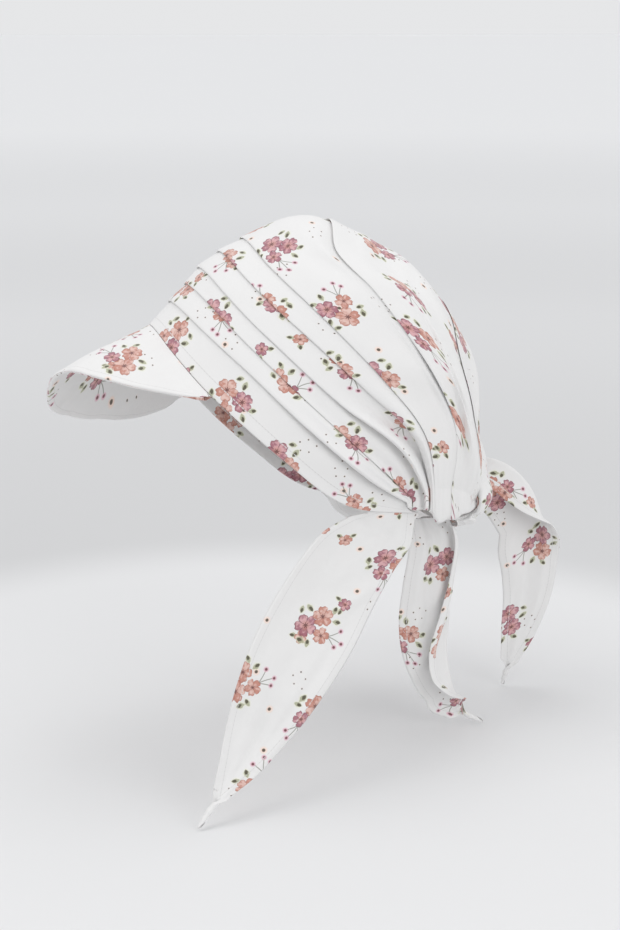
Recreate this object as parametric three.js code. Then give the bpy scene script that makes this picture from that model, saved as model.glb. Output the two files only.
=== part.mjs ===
// A soft cotton beach hat: a tucked front panel, a slouching back panel, a covered peak and three ties.
// Millimetres. The peak points to -Y, the wearer's left is +X and up is +Z.
// The origin is the middle of the head opening, where the hat sits on its wearer.
import * as THREE from 'three';

// Driving sizes
const crownLength = 218; // from the peak's seam to the back of the slouching panel
const crownHeight = 202; // from the bottom of the back panel to the crest
const crownWidth = 152; // over the ears
const napeWidth = 112; // between the two gathered ends at the nape
const clothThickness = 1.2;
const tuckRise = 1.6; // how far the folded edge of a tuck stands off the cloth below it
const seamGap = 0.3; // clearance between pieces that are sewn together
const pinchRadius = 3; // radius of the gathered cloth at each end of the nape
const wornTilt = 10; // degrees that the hat leans down over the right ear

const peakReach = 96; // from the temples to the front edge, seen from above
const peakWidth = 137; // across the widest part of the peak
const peakThickness = 2.4;
const peakDroop = 13; // scale of the height that the peak's front edge gains or loses on its way round
const peakBulge = 3; // how far the peak's middle is arched up between the seam and the edge
const peakEnd = 4; // how far its edge starts in front of the temples
const peakSpan = 0.37; // share of each half of the rim that the peak is sewn to

const leftTieWidth = 64;
const leftTieDrop = 160; // from the nape to the tip
const middleTieWidth = 43;
const middleTieDrop = 138;
const rightTieWidth = 42;
const rightTieDrop = 168;
const tipWidth = 6; // the twisted end of each tie
const tipThickness = 3.4;
const foldRadius = 2; // of the cloth where a tie's edge is turned over

// Numbers of faces
const halfColumns = 18; // from the crest of the crown to one gathered end
const rimStep = 0.33; // sections between two rows in front of the tucks
const tuckStep = 0.45; // between two rows of a tuck
const crownStep = 0.6; // between two rows behind the last tuck
const backStep = 0.72; // between two rows of the back panel
const peakColumns = 26;
const peakRows = 7;
const leftTieRows = 20;
const middleTieRows = 18;
const rightTieRows = 26;
const tieColumns = 10;
const foldColumns = 4; // of them, in the strip that can be turned over

// How the width of a section spreads over its height
const widestShare = 0.42; // height of the widest place, from the nape, as a share of the section
const crestShare = 0.6; // share of each half's columns above that place
const gatherFoot = 0.03; // heights between which tucks and folds rise out of the gathered cloth
const gatherTop = 0.16;

// Sections of the crown. Each is a flat arch from one gathered end of the nape over the crest to the other.
// crest and nape: place of the arch's top and of its ends, as shares of crownLength and crownHeight.
// wide: half width as a share of half crownWidth. bow: how far the arch bends back out of its plane, as shares
// of crownHeight, at the four heights in bowHeights.
const sections = [
  // name, crestBack, crestUp, napeBack, napeUp, wide, bowNape, bowEar, bowTemple, bowCrest
  ['rim', -0.387, 0.308, 0.357, -0.299, 1.0, -0.119, -0.122, -0.084, -0.042],
  ['tuck 1', -0.319, 0.382, 0.363, -0.3, 1.0, -0.036, -0.046, -0.024, -0.014],
  ['tuck 2', -0.273, 0.434, 0.379, -0.304, 1.0, -0.01, -0.028, -0.028, -0.014],
  ['tuck 3', -0.233, 0.483, 0.398, -0.308, 1.0, 0.05, 0.0, -0.02, -0.016],
  ['tuck 4', -0.171, 0.531, 0.414, -0.309, 1.0, 0.08, 0.042, 0.0, -0.01],
  ['tuck 5', -0.101, 0.571, 0.424, -0.31, 1.0, 0.085, 0.06, 0.014, -0.008],
  ['crown', -0.015, 0.614, 0.43, -0.31, 1.0, 0.084, 0.066, 0.016, -0.02],
  ['crest', 0.075, 0.636, 0.436, -0.308, 1.0, 0.084, 0.069, 0.014, -0.038],
  ['seam', 0.158, 0.62, 0.442, -0.306, 1.0, 0.08, 0.055, -0.012, -0.055],
  ['back 1', 0.269, 0.58, 0.445, -0.305, 1.0, 0.074, 0.06, 0.008, -0.03],
  ['back 2', 0.367, 0.495, 0.448, -0.304, 0.99, 0.059, 0.045, 0.004, -0.01],
  ['back 3', 0.455, 0.389, 0.45, -0.303, 0.96, 0.045, 0.035, 0.0, 0.0],
  ['back 4', 0.518, 0.27, 0.452, -0.303, 0.9, 0.035, 0.025, 0.0, 0.0],
  ['back 5', 0.553, 0.155, 0.452, -0.303, 0.84, 0.025, 0.015, 0.0, 0.0],
  ['back 6', 0.52, 0.055, 0.452, -0.303, 0.81, 0.015, 0.01, 0.0, 0.0],
  ['back 7', 0.548, -0.04, 0.452, -0.303, 0.81, 0.0, 0.0, 0.0, 0.0],
  ['bag 1', 0.585, -0.133, 0.452, -0.303, 0.82, 0.0, 0.0, 0.0, 0.0],
  ['bag 2', 0.592, -0.224, 0.451, -0.303, 0.83, 0.0, 0.0, 0.0, 0.0],
  ['bag 3', 0.58, -0.295, 0.449, -0.304, 0.82, 0.0, 0.0, 0.0, 0.0],
  ['bag 4', 0.547, -0.335, 0.444, -0.304, 0.8, 0.0, 0.0, 0.0, 0.0],
  ['bag 5', 0.51, -0.358, 0.438, -0.304, 0.79, 0.0, 0.0, 0.0, 0.0],
  ['hem', 0.475, -0.366, 0.43, -0.304, 0.78, 0.0, 0.0, 0.0, 0.0],
];
const bowHeights = [0.22, 0.45, 0.75, 0.9];
const tuckCount = 5;
const tuckEdge = 0.035; // stations that a tuck's folded edge takes
const lastTuckLength = 1.8; // stations over which the last tuck's lift dies away
const seamStation = 8;
const lastStation = sections.length - 1;

// Soft folds in both crown panels: where each lies, how far it reaches and how deep it is (minus is a hollow).
// station counts the sections, height is the share from the nape to the crest, rise is a share of crownHeight.
const folds = [
  // station, stationReach, height, heightReach, rise
  [1.55, 0.5, 0.24, 0.14, 0.018], // roll of cloth above the first tuck, behind the ear
  [3.45, 0.55, 0.2, 0.12, -0.03], // hollow under the fourth tuck, at the nape
  [2.7, 0.45, 0.2, 0.12, 0.018], // roll in front of that hollow
  [5.1, 0.6, 0.3, 0.16, 0.012],
  [7.0, 0.7, 0.95, 0.12, 0.008],
  [8.7, 0.5, 0.9, 0.12, -0.022], // dip behind the seam at the crest
  [9.6, 0.7, 0.66, 0.2, 0.016],
  [11.4, 0.7, 0.5, 0.22, -0.012],
  [14.1, 0.5, 0.9, 0.35, -0.02], // waist of the slouch
  [16.4, 1.2, 0.8, 0.5, 0.01],
];

// Height of the peak's front edge over the temples, as a share of peakDroop: raised on the left, drooping on
// the right. place runs from -1 at the left temple to 1 at the right one.
const peakEdge = [
  // place, height
  [-1, 0],
  [-0.8, 0.55],
  [-0.55, 1.2],
  [-0.35, 1.45],
  [-0.18, 1.1],
  [0, 0.2],
  [0.18, -0.48],
  [0.4, -0.88],
  [0.62, -1.15],
  [0.82, -1.2],
  [0.94, -0.8],
  [1, -0.1],
];

// Ties, hanging as they fall. Each row places the middle of the cloth and says how its width lies.
// out, back and up: shares of the tie's drop, from the origin. wide: share of its width.
// turn: degrees from +Y towards -X that the width points to. dip: degrees that its far edge hangs lower.
// fold: degrees that the strip along that edge is turned over. cup: hollow across it, as a share of the width.
const foldShare = 0.3; // share of a tie's width in that strip
const leftTie = [
  // out, back, up, wide, turn, dip, fold, cup
  [0.481, 0.3, -0.356, 0.72, 13, 4, 0, -0.05],
  [0.538, 0.2, -0.425, 0.88, 14, 8, 0, -0.09],
  [0.606, 0.1, -0.535, 0.95, 12, 15, 0, -0.08],
  [0.669, 0.005, -0.66, 0.97, 9, 21, 0, -0.05],
  [0.744, -0.1, -0.8, 0.9, 5, 27, 0, -0.05],
  [0.794, -0.18, -0.92, 0.77, 3, 28, 0, -0.05],
  [0.831, -0.245, -1.02, 0.6, 2, 24, 0, -0.05],
  [0.875, -0.31, -1.115, 0.4, 0, 18, 0, -0.04],
  [0.912, -0.381, -1.2, 0.17, -6, 10, 0, -0.02],
];
const leftTieTip = [0.972, -0.478, -1.303];
const middleTie = [
  // out, back, up, wide, turn, dip, fold, cup
  [0.3, 0.6, -0.435, 0.7, 24, 24, 0, 0.02],
  [0.275, 0.645, -0.56, 0.8, 22, 12, 0, 0.05],
  [0.25, 0.63, -0.76, 0.83, 18, 2, 0, 0.07],
  [0.235, 0.615, -0.93, 0.84, 15, 2, 0, 0.08],
  [0.225, 0.622, -1.1, 0.84, 13, 4, 0, 0.08],
  [0.217, 0.656, -1.24, 0.8, 13, 10, 0, 0.06],
  [0.203, 0.714, -1.36, 0.7, 10, 4, 0, 0.03],
  [0.188, 0.8, -1.435, 0.42, 6, -10, 0, 0.0],
];
const middleTieTip = [0.2, 0.94, -1.508];
const rightTie = [
  // out, back, up, wide, turn, dip, fold, cup
  [-0.372, 0.37, -0.46, 0.85, -8, -6, 0, 0.0],
  [-0.42, 0.5, -0.51, 0.9, -10, -36, 0, 0.03],
  [-0.43, 0.645, -0.49, 0.95, -10, -66, 30, 0.04],
  [-0.365, 0.785, -0.42, 1.0, -10, -74, 90, 0.04],
  [-0.25, 0.885, -0.37, 1.1, -10, -66, 140, 0.04],
  [-0.225, 0.955, -0.43, 1.15, -4, -42, 150, 0.05],
  [-0.22, 1.015, -0.55, 1.1, 2, -22, 90, 0.06],
  [-0.225, 1.055, -0.68, 1.0, 6, -8, 20, 0.06],
  [-0.232, 1.065, -0.83, 0.88, 6, -2, 0, 0.05],
  [-0.238, 1.035, -1.0, 0.66, 8, 8, 0, 0.04],
  [-0.238, 1.0, -1.13, 0.36, 8, 16, 0, 0.02],
];
const rightTieTip = [-0.238, 0.968, -1.244];

// Clearances
const peakGap = seamGap + 0.1; // along the cloth, so that the slanting seam is as clear as the others
const wallShare = 0.4; // share of the peak's rows over which its underside turns square

// Colours
const white = 0xf1efec;
const cotton = new THREE.MeshStandardMaterial({ color: white, roughness: 0.85, metalness: 0 });

const radians = THREE.MathUtils.degToRad;
const smoothstep = THREE.MathUtils.smoothstep;

// A smooth curve through the values at the given places, carried on straight past both ends.
function curveAt(places, values, at) {
  const last = places.length - 1;
  const slope = (i) => {
    const a = Math.max(i - 1, 0);
    const b = Math.min(i + 1, last);
    return (values[b] - values[a]) / (places[b] - places[a]);
  };
  if (at <= places[0]) return values[0] + slope(0) * (at - places[0]);
  if (at >= places[last]) return values[last] + slope(last) * (at - places[last]);
  let i = 0;
  while (at > places[i + 1]) i += 1;
  const span = places[i + 1] - places[i];
  const t = (at - places[i]) / span;
  const t2 = t * t;
  const t3 = t2 * t;
  return (
    (2 * t3 - 3 * t2 + 1) * values[i] +
    (t3 - 2 * t2 + t) * span * slope(i) +
    (3 * t2 - 2 * t3) * values[i + 1] +
    (t3 - t2) * span * slope(i + 1)
  );
}

const stations = sections.map((row, i) => i);
const columnOf = (rows, k) => rows.map((row) => row[k]);
const sectionColumns = sections[0].map((value, k) => columnOf(sections, k));
const readSection = (k, station) => curveAt(stations, sectionColumns[k], station);

// How far the soft folds lift or hollow the cloth.
function foldLift(station, height) {
  let rise = 0;
  for (const [place, reach, middle, spread, depth] of folds) {
    const a = (station - place) / reach;
    const b = (height - middle) / spread;
    rise += depth * Math.exp(-a * a - b * b);
  }
  return rise * crownHeight * smoothstep(height, gatherFoot, gatherTop);
}

// How far a tuck lifts the outer face: most at its folded edge, nothing where it reaches the next one.
function tuckLift(station, height) {
  const strip = Math.floor(station);
  if (strip < 1 || strip > tuckCount) return 0;
  const length = strip === tuckCount ? lastTuckLength : 1;
  const slope = Math.max(0, 1 - (station - strip) / length);
  return tuckRise * slope * smoothstep(height, gatherFoot, gatherTop);
}

// A point of the crown. across runs from -1 at the left gathered end over 0 on the crest to 1 at the right one.
// inside is the distance in from the outer face.
function crownPoint(station, across, inside, withTucks) {
  const napeBack = readSection(3, station) * crownLength;
  const napeUp = readSection(4, station) * crownHeight;
  const stepBack = readSection(1, station) * crownLength - napeBack;
  const stepUp = readSection(2, station) * crownHeight - napeUp;
  const reach = Math.hypot(stepBack, stepUp);
  const part = Math.abs(across);
  const above = part < crestShare;
  const angle = above
    ? (part / crestShare) * 0.5 * Math.PI
    : ((part - crestShare) / (1 - crestShare)) * 0.5 * Math.PI;
  const widest = widestShare * reach;
  const plainHeight = above
    ? widestShare + (1 - widestShare) * Math.cos(angle)
    : widestShare * (1 - Math.sin(angle));
  const tuck = withTucks ? tuckLift(station, plainHeight) : 0;
  const lift = foldLift(station, plainHeight) + tuck - inside;
  const half = readSection(5, station) * 0.5 * crownWidth + lift;
  const end = 0.5 * napeWidth - inside;
  const side = above ? half * Math.sin(angle) : end + (half - end) * Math.cos(angle);
  const height = above
    ? widest + (reach + lift - widest) * Math.cos(angle)
    : widest - (widest - pinchRadius) * Math.sin(angle);
  const share = Math.min(1, height / reach);
  const bows = [0, 6, 7, 8, 9, 0].map((k) => (k ? readSection(k, station) : 0));
  const bow = crownHeight * curveAt([0, ...bowHeights, 1], bows, share);
  const back = (stepBack * height + stepUp * bow) / reach;
  const up = (stepUp * height - stepBack * bow) / reach;
  return new THREE.Vector3(across > 0 ? -side : side, napeBack + back, napeUp + up);
}

// A closed solid from two grids of points, the outer face and the inner one, joined along their four edges.
function solidFromGrids(outer, inner) {
  const rows = outer.length;
  const columns = outer[0].length;
  const corners = [];
  const at = (i, j, inside) => (inside ? inner[i][j] : outer[i][j]);
  const face = (a, b, c, d) => corners.push(a, b, c, a, c, d);
  for (let i = 0; i + 1 < rows; i += 1) {
    for (let j = 0; j + 1 < columns; j += 1) {
      face(at(i, j), at(i, j + 1), at(i + 1, j + 1), at(i + 1, j));
      face(at(i, j, true), at(i + 1, j, true), at(i + 1, j + 1, true), at(i, j + 1, true));
    }
  }
  for (let j = 0; j + 1 < columns; j += 1) {
    face(at(0, j, true), at(0, j + 1, true), at(0, j + 1), at(0, j));
    face(at(rows - 1, j), at(rows - 1, j + 1), at(rows - 1, j + 1, true), at(rows - 1, j, true));
  }
  for (let i = 0; i + 1 < rows; i += 1) {
    face(at(i, 0), at(i + 1, 0), at(i + 1, 0, true), at(i, 0, true));
    face(at(i, columns - 1, true), at(i + 1, columns - 1, true), at(i + 1, columns - 1), at(i, columns - 1));
  }
  const geometry = new THREE.BufferGeometry().setFromPoints(corners);
  if (signedVolume(corners) < 0) turnInsideOut(geometry);
  geometry.computeVertexNormals();
  return geometry;
}

function signedVolume(corners) {
  let volume = 0;
  for (let i = 0; i < corners.length; i += 3) {
    volume += corners[i].dot(new THREE.Vector3().crossVectors(corners[i + 1], corners[i + 2])) / 6;
  }
  return volume;
}

function turnInsideOut(geometry) {
  const position = geometry.getAttribute('position');
  const second = new THREE.Vector3();
  const third = new THREE.Vector3();
  for (let i = 0; i < position.count; i += 3) {
    second.fromBufferAttribute(position, i + 1);
    third.fromBufferAttribute(position, i + 2);
    position.setXYZ(i + 1, third.x, third.y, third.z);
    position.setXYZ(i + 2, second.x, second.y, second.z);
  }
}

const acrossCrown = Array.from({ length: 2 * halfColumns + 1 }, (value, j) => j / halfColumns - 1);

function crownPanel(rows) {
  const outer = rows.map((row) => acrossCrown.map((across) => crownPoint(row, across, 0, true)));
  const inner = rows.map((row) => acrossCrown.map((across) => crownPoint(row, across, clothThickness, false)));
  return solidFromGrids(outer, inner);
}

// Stations between the given ends, about a step apart.
function stationsBetween(from, to, step) {
  const count = Math.max(1, Math.round((to - from) / step));
  return Array.from({ length: count + 1 }, (value, i) => from + ((to - from) * i) / count);
}

// How much of a station a distance along the crest is.
function stationsIn(distance, station) {
  const step = 0.01;
  return (distance * step) / crownPoint(station, 0, 0, false).distanceTo(crownPoint(station + step, 0, 0, false));
}

function frontPanel() {
  const hair = 1e-6; // keeps a row just in front of a tuck's folded edge
  const rows = stationsBetween(0, 1 - hair, rimStep);
  const seam = seamStation - stationsIn(0.5 * seamGap, seamStation);
  for (let tuck = 1; tuck <= tuckCount; tuck += 1) {
    const last = tuck === tuckCount;
    rows.push(...stationsBetween(tuck + tuckEdge, last ? seam : tuck + 1 - hair, last ? crownStep : tuckStep));
  }
  return crownPanel(rows);
}

function backPanel() {
  const first = seamStation + stationsIn(0.5 * seamGap, seamStation);
  return crownPanel(stationsBetween(first, lastStation, backStep));
}

// The front edge of the peak at a share of its way round: an oval, arched across and drooping on the right.
function peakEdgePoint(share, temple) {
  const sideFullness = 0.86; // powers under 1 fill the oval out towards its box
  const frontFullness = 0.78;
  const endNarrowing = 0.03;
  const angle = share * 0.5 * Math.PI;
  const side = Math.sign(angle) * Math.abs(Math.sin(angle)) ** sideFullness;
  const x = -0.5 * peakWidth * side * (1 - endNarrowing * Math.abs(share) ** 6);
  const y = temple.y - peakEnd - (peakReach - peakEnd) * Math.cos(angle) ** frontFullness;
  const height = peakDroop * curveAt(columnOf(peakEdge, 0), columnOf(peakEdge, 1), share);
  return new THREE.Vector3(x, y, temple.z + height);
}

// The peak runs from the rim to its front edge. Its underside starts along the crown's wall and turns to lie
// square below the upper face.
function peak() {
  const start = -stationsIn(peakGap, 0);
  const temple = crownPoint(start, peakSpan, 0, false);
  const around = Array.from({ length: peakColumns + 1 }, (value, j) => (2 * j) / peakColumns - 1);
  const edges = around.map((share) => peakEdgePoint(share, temple));
  const seams = around.map((share) => [0, peakThickness].map((depth) => crownPoint(start, share * peakSpan, depth, false)));
  const outer = Array.from({ length: peakRows + 1 }, (value, i) => {
    const along = i / peakRows;
    return around.map((share, j) => {
      const point = seams[j][0].clone().lerp(edges[j], along);
      point.z += peakBulge * Math.sin(Math.PI * along) * Math.cos(0.5 * Math.PI * share);
      return point;
    });
  });
  const inner = outer.map((row, i) =>
    row.map((point, j) => {
      const before = outer[Math.max(i - 1, 0)][j];
      const after = outer[Math.min(i + 1, peakRows)][j];
      const left = row[Math.max(j - 1, 0)];
      const right = row[Math.min(j + 1, peakColumns)];
      const square = after.clone().sub(before).cross(right.clone().sub(left)).setLength(peakThickness);
      if (square.z > 0) square.negate();
      const alongWall = seams[j][1].clone().sub(seams[j][0]);
      return point.clone().add(alongWall.lerp(square, smoothstep(i / peakRows, 0, wallShare)));
    })
  );
  return solidFromGrids(outer, inner);
}

// The place where a tie is sewn, just clear of the cloth: a row of points along the crown's edge at a station.
function sewnRow(station, from, to, inside) {
  return Array.from({ length: tieColumns + 1 }, (value, j) => {
    const point = crownPoint(station, from + ((to - from) * j) / tieColumns, inside, false).applyMatrix4(tilt);
    point.z -= seamGap;
    return point;
  });
}

// One row of a tie's cloth, as offsets along its width and out of its face.
function tieSection(width, fold, cup) {
  const strip = foldShare * width;
  const main = width - strip;
  const arc = foldRadius * fold;
  const half = 0.5 * (main + Math.max(0, strip * Math.cos(fold)));
  return Array.from({ length: tieColumns + 1 }, (value, j) => {
    const mainColumns = tieColumns - foldColumns;
    if (j <= mainColumns) {
      const place = (j / mainColumns) * main;
      return [place - half, cup * (1 - (2 * place / width - 1) ** 2)];
    }
    const beyond = ((j - mainColumns) / foldColumns) * strip;
    const turned = Math.min(fold, beyond / foldRadius);
    const straight = Math.max(0, beyond - arc);
    const along = foldRadius * Math.sin(turned) + straight * Math.cos(fold);
    const out = foldRadius * (1 - Math.cos(turned)) + straight * Math.sin(fold);
    return [main + along - half, cup * (1 - (2 * main / width - 1) ** 2) + out];
  });
}

// A tie's cloth runs from its sewn row along the table's rows to its tip.
function tie(root, table, tip, width, drop, rowCount) {
  const lean = 0.6; // how much of the width's lean along the path is taken out
  const centres = table.map((row) => new THREE.Vector3(row[0], row[1], row[2]).multiplyScalar(drop));
  const path = new THREE.CatmullRomCurve3(centres, false, 'centripetal');
  const last = table.length - 1;
  const places = table.map((row, i) => i);
  const read = (k, at) => curveAt(places, columnOf(table, k), at);
  const outer = [root[0]];
  const inner = [root[1]];
  for (const at of stationsBetween(0, last, last / rowCount)) {
    const centre = path.getPoint(at / last);
    const tangent = path.getTangent(at / last);
    const turn = radians(read(4, at));
    const dip = radians(read(5, at));
    const across = new THREE.Vector3(-Math.sin(turn) * Math.cos(dip), Math.cos(turn) * Math.cos(dip), -Math.sin(dip));
    across.addScaledVector(tangent, -lean * across.dot(tangent)).normalize();
    const face = new THREE.Vector3().crossVectors(tangent, across).normalize();
    const cloth = Math.max(tipWidth, read(3, at) * width);
    const offsets = tieSection(cloth, radians(Math.max(0, read(6, at))), read(7, at) * width);
    const place = ([a, b]) => centre.clone().addScaledVector(across, a).addScaledVector(face, b);
    outer.push(offsets.map(place));
    inner.push(insideSection(offsets).map(place));
  }
  addTip(outer, inner, new THREE.Vector3(...tip).multiplyScalar(drop));
  return solidFromGrids(outer, inner);
}

// The other face of a tie's section, one cloth thickness away.
function insideSection(offsets) {
  return offsets.map(([a, b], j) => {
    const before = offsets[Math.max(j - 1, 0)];
    const after = offsets[Math.min(j + 1, tieColumns)];
    const scale = clothThickness / Math.hypot(after[0] - before[0], after[1] - before[1]);
    return [a + scale * (after[1] - before[1]), b - scale * (after[0] - before[0])];
  });
}

// The twisted end: the last row drawn together into a thicker strip that reaches the tip.
const twist = [
  // along the way to the tip, share of tipWidth, share of tipThickness
  [0.35, 1, 0.9],
  [0.7, 0.8, 1],
  [1, 0.6, 0.6],
];
function addTip(outer, inner, end) {
  const edgeThinning = 0.75; // how much thinner the strip is at its edges, squared
  const last = outer[outer.length - 1];
  const middle = last[0].clone().lerp(last[tieColumns], 0.5);
  const way = end.clone().sub(middle);
  const across = last[tieColumns].clone().sub(last[0]).normalize();
  across.addScaledVector(way, -across.dot(way) / way.lengthSq()).normalize();
  const face = way.clone().cross(across).normalize();
  for (const [along, wide, thick] of twist) {
    const centre = middle.clone().addScaledVector(way, along);
    const row = (side) =>
      Array.from({ length: tieColumns + 1 }, (value, j) => {
        const share = (2 * j) / tieColumns - 1;
        const thickness = 0.5 * tipThickness * thick * Math.sqrt(1 - edgeThinning * share * share);
        return centre
          .clone()
          .addScaledVector(across, 0.5 * tipWidth * wide * share)
          .addScaledVector(face, side * thickness);
      });
    outer.push(row(1));
    inner.push(row(-1));
  }
}

const tilt = new THREE.Matrix4().makeRotationY(radians(-wornTilt));
const worn = new THREE.Group();
worn.rotation.y = radians(-wornTilt);

function named(name, geometry) {
  const mesh = new THREE.Mesh(geometry, cotton.clone());
  mesh.name = name;
  return mesh;
}

worn.add(named('front_panel', frontPanel()), named('back_panel', backPanel()), named('peak', peak()));

const rimStation = -stationsIn(seamGap, 0);
const hemStation = lastStation + stationsIn(seamGap, lastStation);
const faces = [0, clothThickness];
const leftRoot = faces.map((inside) => sewnRow(rimStation, -0.775, -0.97, inside));
const rightRoot = faces.map((inside) => sewnRow(rimStation, 0.76, 0.93, inside));
const middleRoot = faces.map((inside) => sewnRow(hemStation, -0.95, -0.6, inside));

const hat = new THREE.Group();
hat.add(
  worn,
  named('left_tie', tie(leftRoot, leftTie, leftTieTip, leftTieWidth, leftTieDrop, leftTieRows)),
  named('middle_tie', tie(middleRoot, middleTie, middleTieTip, middleTieWidth, middleTieDrop, middleTieRows)),
  named('right_tie', tie(rightRoot, rightTie, rightTieTip, rightTieWidth, rightTieDrop, rightTieRows))
);

export default hat;
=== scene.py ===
import math

import bpy
import numpy as np
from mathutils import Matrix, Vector


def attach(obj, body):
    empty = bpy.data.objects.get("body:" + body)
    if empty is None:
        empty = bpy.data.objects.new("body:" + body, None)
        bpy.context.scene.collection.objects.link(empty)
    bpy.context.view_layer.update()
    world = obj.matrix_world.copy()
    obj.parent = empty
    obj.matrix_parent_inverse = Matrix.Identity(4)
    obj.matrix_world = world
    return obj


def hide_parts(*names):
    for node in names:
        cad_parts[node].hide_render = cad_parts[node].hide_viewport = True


bl_info = {
    "name": "Beach hat",
    "version": (1, 0, 0),
    "blender": (4, 5, 0),
    "location": "3D View > Sidebar > Beach hat",
    "description": "Makes a tucked cotton beach hat with a covered peak and long ties",
    "category": "Add Mesh",
}

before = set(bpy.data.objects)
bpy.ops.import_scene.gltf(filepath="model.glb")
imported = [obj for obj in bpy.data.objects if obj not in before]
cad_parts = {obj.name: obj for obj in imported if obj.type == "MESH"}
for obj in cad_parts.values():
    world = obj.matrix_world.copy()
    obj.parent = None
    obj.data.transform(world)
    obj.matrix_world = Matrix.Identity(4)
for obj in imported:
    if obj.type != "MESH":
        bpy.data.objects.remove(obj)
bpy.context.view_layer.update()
MM = 0.001

# Form of the crown. Each section is a flat arch from one gathered end of the nape over the crest to the
# other. crest and nape are shares of the crown's length and height, and wide is a share of its half width.
# The four bows say how far the arch bends back out of its plane, as shares of the height.
SECTION_COLUMNS = (
    "crest_back", "crest_up", "nape_back", "nape_up", "wide", "bow_nape", "bow_ear", "bow_temple", "bow_crest"
)
SECTIONS = [
    (-0.387, 0.308, 0.357, -0.299, 1.0, -0.119, -0.122, -0.084, -0.042),  # rim
    (-0.319, 0.382, 0.363, -0.3, 1.0, -0.036, -0.046, -0.024, -0.014),  # tucks 1 to 5
    (-0.273, 0.434, 0.379, -0.304, 1.0, -0.01, -0.028, -0.028, -0.014),
    (-0.233, 0.483, 0.398, -0.308, 1.0, 0.05, 0.0, -0.02, -0.016),
    (-0.171, 0.531, 0.414, -0.309, 1.0, 0.08, 0.042, 0.0, -0.01),
    (-0.101, 0.571, 0.424, -0.31, 1.0, 0.085, 0.06, 0.014, -0.008),
    (-0.015, 0.614, 0.43, -0.31, 1.0, 0.084, 0.066, 0.016, -0.02),
    (0.075, 0.636, 0.436, -0.308, 1.0, 0.084, 0.069, 0.014, -0.038),
    (0.158, 0.62, 0.442, -0.306, 1.0, 0.08, 0.055, -0.012, -0.055),  # seam
    (0.269, 0.58, 0.445, -0.305, 1.0, 0.074, 0.06, 0.008, -0.03),  # back panel
    (0.367, 0.495, 0.448, -0.304, 0.99, 0.059, 0.045, 0.004, -0.01),
    (0.455, 0.389, 0.45, -0.303, 0.96, 0.045, 0.035, 0.0, 0.0),
    (0.518, 0.27, 0.452, -0.303, 0.9, 0.035, 0.025, 0.0, 0.0),
    (0.553, 0.155, 0.452, -0.303, 0.84, 0.025, 0.015, 0.0, 0.0),
    (0.52, 0.055, 0.452, -0.303, 0.81, 0.015, 0.01, 0.0, 0.0),
    (0.548, -0.04, 0.452, -0.303, 0.81, 0.0, 0.0, 0.0, 0.0),
    (0.585, -0.133, 0.452, -0.303, 0.82, 0.0, 0.0, 0.0, 0.0),  # slouching bag
    (0.592, -0.224, 0.451, -0.303, 0.83, 0.0, 0.0, 0.0, 0.0),
    (0.58, -0.295, 0.449, -0.304, 0.82, 0.0, 0.0, 0.0, 0.0),
    (0.547, -0.335, 0.444, -0.304, 0.8, 0.0, 0.0, 0.0, 0.0),
    (0.51, -0.358, 0.438, -0.304, 0.79, 0.0, 0.0, 0.0, 0.0),
    (0.475, -0.366, 0.43, -0.304, 0.78, 0.0, 0.0, 0.0, 0.0),  # hem
]
BOW_HEIGHTS = (0.22, 0.45, 0.75, 0.9)  # where the four bows lie, as shares of a section's height
WIDEST_SHARE = 0.42  # of a section's height, where it is widest
CREST_SHARE = 0.6  # place across the crown, on both sides, of that widest point
TUCKS = 5
SEAM = 8  # station of the seam between the two panels
BACK_FOLD = 11.3  # station of the fold down the back
WAIST = 14.1  # station above the bag, where the back panel's print starts anew
LAST = len(SECTIONS) - 1

# How far each tuck's folded edge stands off the cloth, in millimetres, from the nape to the crest.
TUCK_HEIGHTS = (0.0, 0.06, 0.14, 0.24, 0.36, 0.5, 0.7, 1.0)
TUCK_LIFTS = [
    (0.8, 3.6, 6.8, 7.8, 6.8, 4.0, 1.7, 1.5),
    (0.7, 1.6, 2.4, 2.2, 1.7, 1.5, 1.4, 1.5),
    (0.8, 5.2, 8.2, 8.8, 6.2, 2.6, 1.6, 1.6),
    (0.7, 3.0, 5.2, 5.0, 3.4, 2.2, 1.7, 1.6),
    (0.35, 0.5, 1.4, 2.0, 1.8, 1.6, 1.6, 1.6),
]
SEAM_LIFTS = (0.35, 0.35, 0.35, 0.5, 1.4, 2.3, 2.2, 1.9)
BACK_FOLD_LIFTS = (0.0, 0.0, 0.05, 0.15, 0.8, 2.2, 2.0, 0.8)
SEAM_WANDER = (0.0, -0.1, 0.0, 0.2, 0.45, 0.38, 0.26, 0.0)  # stations by which the seam leaves its section

# The gathered ends spread backwards as they open out: (station, distance in millimetres)
SPREAD_STATIONS = (0.0, 1.6, 3.0, 4.5, 5.6, 8.0, 10.0, 12.0, 14.0, 15.8, 17.5, 21.0)
SPREAD_BACK = (0.0, -2.0, -4.0, -7.0, -5.5, -4.0, 0.5, 4.5, 9.0, 10.5, 8.0, 4.0)

# The crown's gathered ends hang down below the nape and curl inwards: (station, drop in millimetres)
HANG_START = 0.86  # place across the crown, on both sides, where they start
HANG_SET = 0.004  # drop in metres from which a row hangs fully
END_CURL = 0.0035  # radius of the curled end, in metres
END_TURN = 2.4  # how far it curls round, in radians
HANG_STATIONS = (0.0, 1.6, 3.0, 4.5, 5.8, 8.0, 10.0, 12.0, 14.0, 17.0, 21.0)
HANG_DROPS = (0.5, 6.0, 11.5, 17.0, 22.5, 20.5, 15.5, 9.0, 3.0, 1.0, 0.0)

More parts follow.
